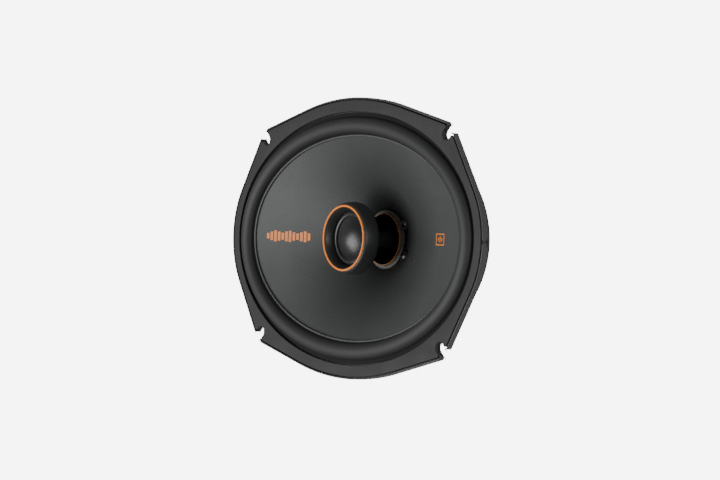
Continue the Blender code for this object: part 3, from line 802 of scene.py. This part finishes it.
def make_flange():
    lips = plate(
        "flange_lip",
        lip_outlines(RIM_WIDTH, SLOT_HALF, TIP_RADIUS),
        FLANGE_BACK,
        FRONT - 0.2,
        0.22,
        FRAME_PAINT,
    )
    floor = plate(
        "flange_plate",
        [flange_outline(0.6, SLOT_HALF + 0.02, TIP_RADIUS), ellipse(*FLANGE_HOLE)],
        FLANGE_BACK + 0.03,
        PLATE_TOP,
        0.1,
        FRAME_PAINT,
    )
    flange = joined("basket_flange", lips, floor)
    shade(flange, 16.0)
    return stands_for(flange, "frame", "frame_paint", "basket")


def arm_edge(half_x, half_y, turn, half):
    """The plan angle where an arm's side crosses an ellipse."""
    low, high = turn, turn + math.copysign(math.radians(60.0), half)
    for _ in range(40):
        middle = (low + high) / 2
        reach = ellipse_radius(half_x, half_y, middle) * math.sin(middle - turn)
        if abs(reach) < abs(half):
            low = middle
        else:
            high = middle
    return low


def window_outlines():
    made = []
    turned = [(math.radians(angle), half) for angle, half in ARMS]
    turned.append((turned[0][0] + 2 * math.pi, turned[0][1]))
    for (first, first_half), (last, last_half) in zip(turned, turned[1:]):
        corners = []
        for half_x, half_y in (WINDOW_INNER, WINDOW_OUTER):
            start = arm_edge(half_x, half_y, first, first_half)
            end = arm_edge(half_x, half_y, last, -last_half)
            line = []
            for k in range(25):
                angle = start + (end - start) * k / 24
                radius = ellipse_radius(half_x, half_y, angle)
                line.append(polar(radius, angle))
            corners.append(line)
        inner, outer = corners
        outline = inner[::-1] + outer
        made.append(round_corners(outline, 3.0))
    return made


def round_corners(outline, radius):
    """Rounds only the sharp corners of a closed plan outline."""
    made = []
    count = len(outline)
    for k in range(count):
        before, here, after = (Vector(outline[(k + d) % count]) for d in (-1, 0, 1))
        first, last = before - here, after - here
        if math.pi - first.angle(last) < math.radians(30.0):
            made.append(tuple(here))
            continue
        reach = [min(radius, arm.length * 0.9) for arm in (first, last)]
        ends = [here + arm.normalized() * size for arm, size in zip((first, last), reach)]
        for step in range(7):
            t = step / 6
            made.append(tuple(ends[0] * (1 - t) ** 2 + here * 2 * t * (1 - t) + ends[1] * t * t))
    return made


def prism(name, outlines, low, high, material):
    bm = bmesh.new()
    for outline in outlines:
        bottom = [bm.verts.new((x * MM, y * MM, low * MM)) for x, y in outline]
        top = [bm.verts.new((x * MM, y * MM, high * MM)) for x, y in outline]
        bm.faces.new(bottom[::-1])
        bm.faces.new(top)
        join_rings(bm, bottom, top)
    return finish_mesh(name, bm, material)


def make_basket_body():
    inner = soften(BASKET_SKIN, 2.4)
    wall = BASKET_WALL
    rings = [ellipse_ring(a, b, z) for a, b, z in inner]
    for a, b, z in inner[:0:-1]:
        rings.append(ellipse_ring(a + wall, b + wall, max(z - wall, FLOOR_Z - wall)))
    rings.append(ellipse_ring(inner[0][0] + wall, inner[0][1] + wall, FLANGE_BACK + 0.1))
    body = loft("basket_body", rings, FRAME_PAINT)
    cut(body, prism("windows", window_outlines(), SHELF_Z - 6.0, FRONT - 6.0, FRAME_PAINT))
    shade(body, 32.0)
    return stands_for(body, "frame", "frame_paint", "basket")


def make_arm_ribs():
    """Pressed ribs on the back of the basket's arms."""
    top_a, top_b, top_z = BASKET_SKIN[2]
    low_a, low_b, low_z = BASKET_SKIN[3]
    ribs = []
    for angle, half in ARMS:
        turn = math.radians(angle)
        for side in ((0.0,) if half < 10 else (-8.5, 8.5)):
            line = []
            for k in range(19):
                share = 0.10 + 0.80 * k / 18
                a = low_a + (top_a - low_a) * share
                b = low_b + (top_b - low_b) * share
                z = low_z + (top_z - low_z) * share - BASKET_WALL * 1.05
                lean = turn + math.asin(side / ellipse_radius(a, b, turn))
                reach = ellipse_radius(a, b, lean)
                line.append((*polar(reach, lean), z))
            width = 1.5 if half < 10 else 1.8
            taper = lambda s, w=width: w * min(1.0, 0.25 + 5 * s, 5.25 - 5 * s)
            ribs.append(tube("rib", line, taper, FRAME_PAINT))
    whole = joined("basket_ribs", *ribs)
    shade(whole, 50.0)
    return stands_for(whole, "frame", "frame_paint", "basket")


def make_gasket():
    inset = RIM_WIDTH + GROOVE
    ring = plate(
        "gasket_ring",
        [flange_outline(inset, SLOT_HALF + 0.35, TIP_RADIUS * 0.8), ellipse(*GASKET_HOLE)],
        PLATE_TOP - 0.05,
        FRONT,
        0.35,
        GASKET,
    )
    return stands_for(ring, "frame", "gasket_rubber", "gasket")


# ---------------------------------------------------------------- surround and cone


def make_surround():
    """The half roll, made straight and bent round the basket."""
    wall = 0.35
    roll_steps = 20
    over = [(7.3, ROLL_BASE + wall), (5.6, ROLL_BASE + wall), (5.15, ROLL_BASE + wall + 0.1)]
    under = [(7.3, PLATE_TOP + 0.05), (4.4, PLATE_TOP + 0.05)]
    for k in range(1, roll_steps):
        angle = math.pi * k / roll_steps
        for line, lift in ((over, wall), (under, -wall)):
            line.append(
                (
                    (ROLL_HALF + lift) * math.cos(angle),
                    ROLL_BASE + (ROLL_HEIGHT + lift) * math.sin(angle),
                )
            )
    over += [(-5.1, ROLL_BASE + 0.15), (-5.4, CONE_EDGE_Z + 0.62), (-6.2, CONE_EDGE_Z + 0.55)]
    over += [(-6.4, CONE_EDGE_Z + 0.4)]
    under += [(-4.6, CONE_EDGE_Z + 0.3), (-6.4, CONE_EDGE_Z + 0.1)]
    profile = over + under[::-1]
    guide_data = bpy.data.curves.new("surround_guide", "CURVE")
    guide_data.dimensions = "3D"
    guide_data.twist_mode = "Z_UP"
    guide_data.use_stretch = True
    guide_data.use_deform_bounds = True
    count = 360
    spline = guide_data.splines.new("POLY")
    spline.points.add(count - 1)
    for point, (x, y) in zip(spline.points, ellipse(*ROLL_CENTRE, count)):
        point.co = (x * MM, y * MM, 0.0, 1.0)
    spline.use_cyclic_u = True
    guide = new_object("surround_guide", guide_data)
    guide.hide_render = True
    guide.hide_viewport = True
    steps = 288
    length = 0.5
    bm = bmesh.new()
    rings = [
        [bm.verts.new((length * k / steps, -out * MM, z * MM)) for out, z in profile]
        for k in range(steps + 1)
    ]
    for lower, upper in zip(rings, rings[1:]):
        join_rings(bm, lower, upper)
    roll = finish_mesh("surround_roll", bm, SURROUND, 60.0)
    bend = roll.modifiers.new("round", "CURVE")
    bend.object = guide
    bend.deform_axis = "POS_X"
    seam = roll.modifiers.new("seam", "WELD")
    seam.merge_threshold = 0.00005
    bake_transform(roll)
    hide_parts("surround")
    return roll


def cone_point(angle, share, drop=0.0):
    """A point on the cone's face: share 0 at the neck and 1 at the edge, drop below the face."""
    edge = ellipse_radius(CONE_EDGE[0], CONE_EDGE[1], angle)
    radius = NECK_RADIUS + (edge - NECK_RADIUS) * share
    height = NECK_Z + (CONE_EDGE_Z - NECK_Z) * share ** CONE_CURVE - drop
    return (*polar(radius, angle), height)


def make_cone_rim():
    """The surround's inner lip, glued round the edge of the cone."""
    section = round_profile(
        [(-5.5, 0.12), (-5.45, 0.75), (-6.55, 0.62), (-6.7, 0.05)], [0.1, 0.3, 0.25, 0.1], 4
    )
    rings = []
    for out, lift in section:
        ring = []
        for k in range(288):
            angle = 2 * math.pi * k / 288
            normal = Vector((math.cos(angle) * ROLL_CENTRE[1], math.sin(angle) * ROLL_CENTRE[0]))
            normal.normalize()
            ring.append(
                (
                    ROLL_CENTRE[0] * math.cos(angle) + normal.x * out,
                    ROLL_CENTRE[1] * math.sin(angle) + normal.y * out,
                    CONE_EDGE_Z + lift,
                )
            )
        rings.append(ring)
    rim = loft("cone_rim", rings, RIM, 60.0)
    return stands_for(rim, "cone_assembly", "surround_rubber")


def make_cone():
    around, along = 216, 30
    shares = [(k / along) ** 1.25 for k in range(along + 1)]
    face = [[cone_point(2 * math.pi * i / around, s) for i in range(around)] for s in shares]
    back = [
        [cone_point(2 * math.pi * i / around, s, CONE_WALL) for i in range(around)]
        for s in reversed(shares)
    ]
    body = loft("cone_face", face + back, CONE, 30.0)
    return stands_for(body, "cone_assembly", "woven_cone", "cone")


# ---------------------------------------------------------------- neck


def waver(angle, *waves):
    """A smooth unevenness round a ring, from (count, size, phase) waves."""
    return sum(size * math.sin(count * angle + phase) for count, size, phase in waves)


def uneven_ring(name, profile, material, waves, steps=144, smooth_angle=60.0):
    """A turned body whose outline swells and sinks as it goes round."""
    rings = []
    for weight, (radius, height) in profile:
        ring = []
        for i in range(steps):
            angle = 2 * math.pi * i / steps
            size = radius + weight * waver(angle, *waves)
            lift = height + 0.5 * weight * waver(angle + 0.7, *waves)
            ring.append((*polar(size, angle), lift))
        rings.append(ring)
    return loft(name, rings, material, smooth_angle)


def make_neck():
    bead = [
        (0.0, (FORMER_OUTER + 0.02, NECK_Z - 1.6)), (0.0, (NECK_RADIUS + 0.2, NECK_Z - 0.6)),
        (0.6, (NECK_RADIUS + 1.2, NECK_Z + 1.2)), (1.0, (NECK_RADIUS + 1.6, NECK_Z + 1.9)),
        (1.0, (NECK_RADIUS + 1.5, NECK_Z + 2.5)), (1.0, (NECK_RADIUS + 1.0, NECK_Z + 2.95)),
        (0.8, (NECK_RADIUS + 0.3, NECK_Z + 3.0)), (0.5, (FORMER_OUTER + 0.3, NECK_Z + 2.9)),
        (0.0, (FORMER_OUTER + 0.02, NECK_Z + 3.3)),
    ]
    waves = ((3, 0.10, 0.4), (7, 0.06, 1.9), (13, 0.03, 0.2))
    stands_for(uneven_ring("neck_bead", bead, BEAD, waves), "cone_assembly", "adhesive", "neck_collar")
    top = NECK_Z + 4.4
    wall = [
        (FORMER_INNER, 13.6), (FORMER_OUTER, 13.6), (FORMER_OUTER, top - 0.1),
        (FORMER_OUTER - 0.1, top), (FORMER_INNER + 0.1, top), (FORMER_INNER, top - 0.1),
    ]
    stands_for(
        revolve("former_tube", wall, FORMER, 144, smooth_angle=30.0),
        "cone_assembly",
        "former_film",
        "coil_former",
    )
    for name, side in (("positive", 1), ("negative", -1)):
        make_lead_joint("lead_joint_" + name, side)


def make_lead_joint(name, side):
    """A hardened drop of glue over the place where a lead goes through the cone."""
    profile = [
        (0.0, -1.2), (1.8, -0.9), (2.8, 1.0), (3.4, 2.6), (3.9, 3.8), (3.85, 4.9), (3.4, 6.0),
        (2.6, 6.9), (1.4, 7.6), (0.0, 7.85),
    ]
    steps = 40
    rings = []
    for radius, height in profile:
        if radius == 0.0:
            rings.append([(LEAD_X, side * LEAD_Y, NECK_Z + height)])
            continue
        ring = []
        for i in range(steps):
            angle = 2 * math.pi * i / steps
            swell = 1.0 + waver(angle + 0.5 * height * side, (2, 0.06, 0.3), (3, 0.05, 1.1 + side))
            ring.append((*polar(radius * swell, angle, LEAD_X, side * LEAD_Y), NECK_Z + height))
        rings.append(ring)
    drop = loft(name + "_drop", rings, BLOB, 80.0)
    smooth = drop.modifiers.new("smooth", "SUBSURF")
    smooth.levels = 1
    smooth.render_levels = 1
    stands_for(drop, "cone_assembly", "black_adhesive", name)


# ---------------------------------------------------------------- suspension and leads


def turned_sheet(name, profile, material, steps=128):
    """A soft ring turned by a modifier from its section, between the frame and a moving body."""
    bm = bmesh.new()
    corners = [bm.verts.new((radius * MM, 0.0, height * MM)) for radius, height in profile]
    for k in range(len(corners)):
        bm.edges.new((corners[k - 1], corners[k]))
    obj = mesh_object(name, bm, material)
    turn = obj.modifiers.new("turn", "SCREW")
    turn.angle = 2 * math.pi
    turn.steps = steps
    turn.render_steps = steps
    turn.use_merge_vertices = True
    turn.merge_threshold = 0.000001
    turn.use_smooth_shade = True
    turn.use_normal_calculate = True
    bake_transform(obj)
    return obj


def make_spider():
    wall = 0.45
    centre = 34.3
    outer = 47.3
    first, last = 18.0, outer - 4.2
    upper = [(FORMER_OUTER + 0.15, centre + 1.6), (FORMER_OUTER + 0.8, centre + 0.9)]
    for k in range(61):
        share = k / 60
        ripple = -math.cos(2 * math.pi * 4 * share)
        upper.append((first + (last - first) * share, centre + 0.3 + 0.95 * ripple))
    upper += [(outer - 3.2, centre - 0.5), (outer, centre - 0.5)]
    lower = [(radius, height - wall) for radius, height in upper]
    disc = turned_sheet(
        "spider_disc", upper + lower[::-1], SPIDER
    )
    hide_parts("spider")


BOARD_Z = 30.2
BOARD_TOP = BOARD_Z + 1.4


def make_tinsel_leads():
    path = [
        (22.6, 10.4, NECK_Z - 2.0), (30.0, 13.4, NECK_Z - 0.4), (40.0, 16.8, NECK_Z + 2.6),
        (50.0, 18.8, NECK_Z + 3.0), (57.4, 18.8, NECK_Z - 0.4), (61.0, 18.3, BOARD_TOP + 3.4),
        (61.6, 18.0, BOARD_TOP + 0.4),
    ]
    for name, side in (("positive", 1), ("negative", -1)):
        points = smooth_path([(x, side * y, z) for x, y, z in path], 10)
        lead = tube("tinsel_lead_%s_braid" % name, points, 0.7, BRAID)
        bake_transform(lead)
        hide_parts("tinsel_lead_" + name)


# ---------------------------------------------------------------- tweeter

POLE_TOP = 24.6
POST_RADIUS = 5.0
POST_BORE = 2.2
HOUSING_BACK = RING_Z - 13.0
HOUSING_RADIUS = 21.5
RING_RADIUS = 19.35
DOME_RADIUS = 12.4
DOME_RISE = 4.6
DOME_BASE = RING_Z - 6.6


def make_tweeter():
    barrel = [
        (POST_BORE + 0.3, HOUSING_BACK), (14.5, HOUSING_BACK), (18.6, HOUSING_BACK + 0.7),
        (20.8, HOUSING_BACK + 2.2), (HOUSING_RADIUS, HOUSING_BACK + 4.2), (21.2, HOUSING_BACK + 8.0),
        (20.5, RING_Z - 1.6), (19.6, RING_Z - 0.75), (18.1, RING_Z - 0.9), (18.1, RING_Z - 8.6),
        (17.0, RING_Z - 10.4), (POST_BORE + 0.3, RING_Z - 10.4),
    ]
    softness = [0.0, 1.5, 1.5, 1.5, 2.0, 3.0, 0.8, 0.6, 0.0, 0.0, 0.0, 0.0]
    barrel = round_profile(barrel, softness, 6)
    turned("tweeter_barrel", barrel, PLASTIC, "black_plastic", "tweeter_housing", 160, 50.0)
    ring = [
        (18.15, RING_Z - 0.8), (RING_RADIUS, RING_Z - 0.8), (RING_RADIUS, RING_Z - 0.1), (19.1, RING_Z),
        (18.35, RING_Z), (18.15, RING_Z - 0.25),
    ]
    trim = round_profile(ring, 0.12, 3)
    turned("trim_ring", trim, ORANGE, "orange_paint", "tweeter_trim_ring", 160, 60.0)
    slope = [
        (18.05, RING_Z - 0.35), (17.55, RING_Z - 0.9), (16.95, RING_Z - 2.2), (16.45, RING_Z - 3.8),
        (16.1, RING_Z - 5.4), (16.0, RING_Z - 6.6), (16.0, RING_Z - 7.6), (18.05, RING_Z - 7.6),
    ]
    turned("waveguide_face", slope, PLASTIC, "black_plastic", "tweeter_waveguide", 160)


def make_dome():
    ball = (DOME_RADIUS ** 2 + DOME_RISE ** 2) / (2 * DOME_RISE)
    skins = []
    for size in (ball, ball - 0.3):
        line = []
        for k in range(21):
            lean = math.asin(DOME_RADIUS / ball) * (1 - k / 20)
            radius = size * math.sin(lean) if k < 20 else 0
            line.append((radius, DOME_BASE + DOME_RISE - ball + size * math.cos(lean)))
        skins.append(line)
    dome = skins[0] + skins[1][::-1]
    turned("dome_shell", dome, DOME, "dome_fabric", "tweeter_dome", 128, 60.0, body="tweeter_diaphragm")
    inner, outer = DOME_RADIUS + 0.1, 15.8
    middle = (inner + outer) / 2
    half = middle - inner - 0.25
    skins = []
    for width, base in ((half, DOME_BASE + 0.02), (half - 0.2, DOME_BASE - 0.25)):
        line = [(outer, base)]
        for k in range(15):
            angle = math.pi * k / 14
            line.append((middle + width * math.cos(angle), base + 1.25 * math.sin(angle)))
        skins.append(line + [(inner, base)])
    profile = skins[0] + skins[1][::-1]
    edge = turned_sheet("dome_roll", profile, DOME)
    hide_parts("tweeter_dome_edge")


def make_post():
    post = [
        (POST_BORE, POLE_TOP + 0.05), (POST_RADIUS + 1.4, POLE_TOP + 0.05),
        (POST_RADIUS + 1.4, POLE_TOP + 2.2), (POST_RADIUS, POLE_TOP + 3.2),
        (POST_RADIUS, HOUSING_BACK - 2.4), (POST_RADIUS + 3.6, HOUSING_BACK - 0.6),
        (POST_RADIUS + 3.6, HOUSING_BACK - 0.05), (POST_BORE, HOUSING_BACK - 0.05),
    ]
    softness = [0.0, 0.4, 0.6, 0.8, 2.0, 0.6, 0.0, 0.0]
    stem = round_profile(post, softness, 5)
    turned("tweeter_stem", stem, PLASTIC, "black_plastic", "tweeter_post", 96)


# ---------------------------------------------------------------- marks on the cone

MARK_LIFT = 0.07
BADGE_CENTRE = (70.0, 0.8)
BADGE_HALF = (5.2, 3.3)
BADGE_LINE = 0.55


def cone_height(x, y):
    """The height of the cone's face over a plan point."""
    angle = math.atan2(y, x)
    edge = ellipse_radius(CONE_EDGE[0], CONE_EDGE[1], angle)
    share = (math.hypot(x, y) - NECK_RADIUS) / (edge - NECK_RADIUS)
    return NECK_Z + (CONE_EDGE_Z - NECK_Z) * max(share, 0.0) ** CONE_CURVE


def printed_strip(bm, left, right, low, high):
    """A printed bar on the cone between plan limits."""
    count = max(2, int((right - left) / 0.8) + 1)
    rows = max(2, int((high - low) / 0.8) + 1)
    grid = []
    for i in range(count + 1):
        column = []
        for j in range(rows + 1):
            y = low + (high - low) * j / rows
            x = left + (right - left) * i / count
            column.append(bm.verts.new((x * MM, y * MM, (cone_height(x, y) + MARK_LIFT) * MM)))
        grid.append(column)
    for one, two in zip(grid, grid[1:]):
        for j in range(rows):
            bm.faces.new((one[j], two[j], two[j + 1], one[j + 1]))


def make_marks():
    """Generic printed marks: level bars on the left and a framed wave on the right."""
    bm = bmesh.new()
    heights = (3.4, 5.2, 6.8, 5.6, 4.2, 6.0, 6.8, 5.0, 3.8, 5.4, 6.6, 4.4)
    left, right = -88.3, -55.2
    pitch = (right - left) / len(heights)
    for k, height in enumerate(heights):
        start = left + pitch * k
        printed_strip(bm, start, start + pitch * 0.7, -height / 2, height / 2)
    stands_for(mesh_object("level_bars", bm, ORANGE), "cone_assembly", "orange_paint")
    bm = bmesh.new()
    x, y = BADGE_CENTRE
    wide, high = BADGE_HALF
    line = BADGE_LINE
    for side in (-1, 1):
        low, top = sorted((side * high, side * (high - line)))
        printed_strip(bm, x - wide, x + wide, y + low, y + top)
    for side in (-1, 1):
        left, right = sorted((side * wide, side * (wide - line * 1.3)))
        printed_strip(bm, x + left, x + right, y - high + line, y + high - line)
    for offset, tall in ((-2.2, 1.8), (0.0, 3.4), (2.2, 1.8)):
        printed_strip(bm, x + offset - 0.5, x + offset + 0.5, y - tall / 2, y + tall / 2)
    stands_for(mesh_object("framed_bars", bm, ORANGE), "cone_assembly", "orange_paint")


# ---------------------------------------------------------------- motor and terminals

COVER_RADIUS = 42.0
COVER_TOP = 19.2
MAGNET_RADIUS = 38.8
GAP_RADIUS = 16.6
PLATE_RADIUS = 37.8
TOP_PLATE = (18.6, 23.6)
RIVET_CIRCLE = 31.0


def make_motor():
    boot = [
        (7.5, 0.0), (24.0, 0.0), (25.0, 0.5), (33.0, 0.5), (34.0, 0.0), (COVER_RADIUS - 2.4, 0.0),
        (COVER_RADIUS, 2.4), (COVER_RADIUS, 5.6), (COVER_RADIUS - 0.5, 6.1), (COVER_RADIUS - 0.5, 7.3),
        (COVER_RADIUS, 7.8), (COVER_RADIUS, COVER_TOP - 1.6), (COVER_RADIUS - 1.6, COVER_TOP),
        (MAGNET_RADIUS + 0.3, COVER_TOP), (MAGNET_RADIUS + 0.3, 1.3), (7.5, 1.3),
    ]
    softness = [0.25, 0.4, 0.4, 0.4, 0.4, 2.0, 2.0, 0.4, 0.3, 0.3, 0.4, 1.2, 1.0, 0.4, 0.0, 0.0]
    cover = round_profile(boot, softness, 5)
    turned("magnet_boot", cover, COVER, "cover_rubber", "magnet_cover", 160, 50.0)
    front = [
        (GAP_RADIUS, TOP_PLATE[0]), (PLATE_RADIUS, TOP_PLATE[0]), (PLATE_RADIUS, TOP_PLATE[1]),
        (GAP_RADIUS, TOP_PLATE[1]),
    ]
    turned("front_plate", round_profile(front, 0.5, 4), STEEL, "steel", "top_plate", 144)
    cap = [(0, 0.2), (6.4, 0.2), (7.2, 0.55), (7.2, 1.25), (0, 1.25)]
    turned("rear_disc", round_profile(cap, [0, 0.5, 0.4, 0.1, 0], 4), STEEL, "steel", "rear_cap", 96)
    for k, angle in enumerate((45.0, 135.0, 225.0, 315.0), start=1):
        turn = math.radians(angle)
        head = [(0, 25.1), (2.4, 25.1), (2.3, 25.7), (1.7, 26.2), (0.9, 26.45), (0, 26.5)]
        centre = polar(RIVET_CIRCLE, turn)
        rivet = revolve("motor_rivet_%d" % k, head, STEEL, 40, centre, 50.0)
        stands_for(rivet, "frame", "steel", "basket_rivet_%d" % k)


def rivet_profile(shank, low, high):
    head = shank + 0.9
    points = [
        (0, low - 0.95), (head - 0.5, low - 0.9), (head, low - 0.1), (shank, low - 0.1),
        (shank, high + 0.1), (head, high + 0.1), (head - 0.5, high + 0.85), (0, high + 0.9),
    ]
    return round_profile(points, [0, 0.4, 0.1, 0, 0, 0.1, 0.4, 0], 3)


BLADE_PIN = (59.0, 10.5)
BOARD_PIN = (48.0, 13.2)
BLADE_START = 55.0
BLADE_TIP = 76.0


def make_terminals():
    holes = []
    for side in (1, -1):
        holes.append(circle(BLADE_PIN[0], side * BLADE_PIN[1], 1.5))
        holes.append(circle(BOARD_PIN[0], side * BOARD_PIN[1], 1.4))
    outline = round_profile([(46.0, -20.5), (66.0, -20.5), (66.0, 20.5), (46.0, 20.5)], 1.6, 5)
    board = plate("board_plate", [outline] + holes, BOARD_Z, BOARD_TOP, 0.12, BOARD)
    stands_for(board, "frame", "board_fibre", "terminal_board")
    for name, side, half in (("positive", 1, 3.15), ("negative", -1, 2.4)):
        y = side * BLADE_PIN[1]
        tip = [
            (BLADE_START, y - half), (BLADE_TIP - 1.4, y - half), (BLADE_TIP, y - half + 1.2),
            (BLADE_TIP, y + half - 1.2), (BLADE_TIP - 1.4, y + half), (BLADE_START, y + half),
        ]
        blade = plate(
            "blade_" + name,
            [round_profile(tip, 0.3, 3), circle(72.5, y, 0.9), circle(BLADE_PIN[0], y, 1.5)],
            BOARD_Z - 0.85,
            BOARD_Z - 0.05,
            0.1,
            BRASS,
        )
        stands_for(blade, "frame", "tinned_brass", "terminal_blade_" + name)
        place = (BLADE_PIN[0], y)
        pin = rivet_profile(1.2, BOARD_Z - 0.9, BOARD_TOP)
        turned("blade_pin_" + name, pin, BRASS, "tinned_brass", "blade_rivet_" + name, 40, centre=place)
        place = (BOARD_PIN[0], side * BOARD_PIN[1])
        pin = rivet_profile(1.1, BOARD_Z, SHELF_Z)
        turned("board_pin_" + name, pin, BRASS, "tinned_brass", "board_rivet_" + name, 40, centre=place)
    make_capacitor()
    make_wires()


def make_capacitor():
    centre = (53.0, BOARD_Z - 4.1)
    half = 9.0
    steps = 48
    line = [(0, -half + 0.35), (1.9, -half + 0.35), (2.2, -half), (2.7, -half), (3.1, -half + 0.5)]
    line += [(3.1, -half + 2.0), (2.9, -half + 2.4), (2.9, -half + 2.7), (3.1, -half + 3.1)]
    line += [(3.1, half - 0.5), (2.7, half), (2.2, half), (1.9, half - 0.3), (0, half - 0.3)]
    rings = []
    for radius, along in line:
        rings.append([(x, along, z) for x, z in circle(*centre, radius, steps if radius else 1)])
    body = loft("capacitor_can", rings, SLEEVE, 50.0)
    stands_for(body, "frame", "capacitor_sleeve", "crossover_capacitor")
    for name, side in (("positive", 1), ("negative", -1)):
        bend = [
            (centre[0], side * (half - 0.3), centre[1]),
            (centre[0], side * (half + 1.6), centre[1] + 0.2),
            (centre[0], side * (half + 2.4), centre[1] + 1.4),
            (centre[0], side * (half + 2.4), BOARD_Z + 0.1),
        ]
        lead = tube("capacitor_pin_" + name, smooth_path(bend), 0.4, STEEL)
        stands_for(lead, "frame", "steel", "capacitor_lead_" + name)


def make_wires():
    for name, side in (("positive", 1), ("negative", -1)):
        turns = [(0.0, HOUSING_BACK + 1.6), (0.0, 8.0), (0.6, 4.4), (3.2, 2.8), (8.0, 2.6), (34.0, 2.6)]
        turns += [(38.4, 2.8), (39.8, 4.4), (40.0, 8.0), (40.0, 18.0)]
        route = [(x, side * 0.9, z) for x, z in turns]
        route += [(42.0, side * 1.0, 22.5), (46.6, side * 1.6, 26.2), (47.6, side * 2.0, BOARD_Z - 0.1)]
        colour = RED_WIRE if side > 0 else BLACK_WIRE
        wire = tube("tweeter_lead_" + name, smooth_path(route, 6), 0.45, colour, 12)
        slot = "wire_red" if side > 0 else "wire_black"
        stands_for(wire, "frame", slot, "tweeter_wire_" + name)


def paint_kept_nodes():
    """Materials for the CAD pieces that stay as they are."""
    kept = {
        "pole_yoke": STEEL, "tweeter_cup": STEEL, "tweeter_magnet": STEEL, "tweeter_pole_plate": STEEL,
        "magnet_ring": FERRITE, "pole_dust_ring": FELT, "tweeter_coil": WINDING, "coil_winding": WINDING,
    }
    for name, material in kept.items():
        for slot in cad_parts[name].material_slots:
            slot.material = material.data


make_flange()
make_basket_body()
make_arm_ribs()
make_gasket()
make_surround()
make_cone()
make_cone_rim()
make_neck()
make_spider()
make_tinsel_leads()
make_tweeter()
make_dome()
make_post()
make_marks()
make_motor()
make_terminals()
paint_kept_nodes()
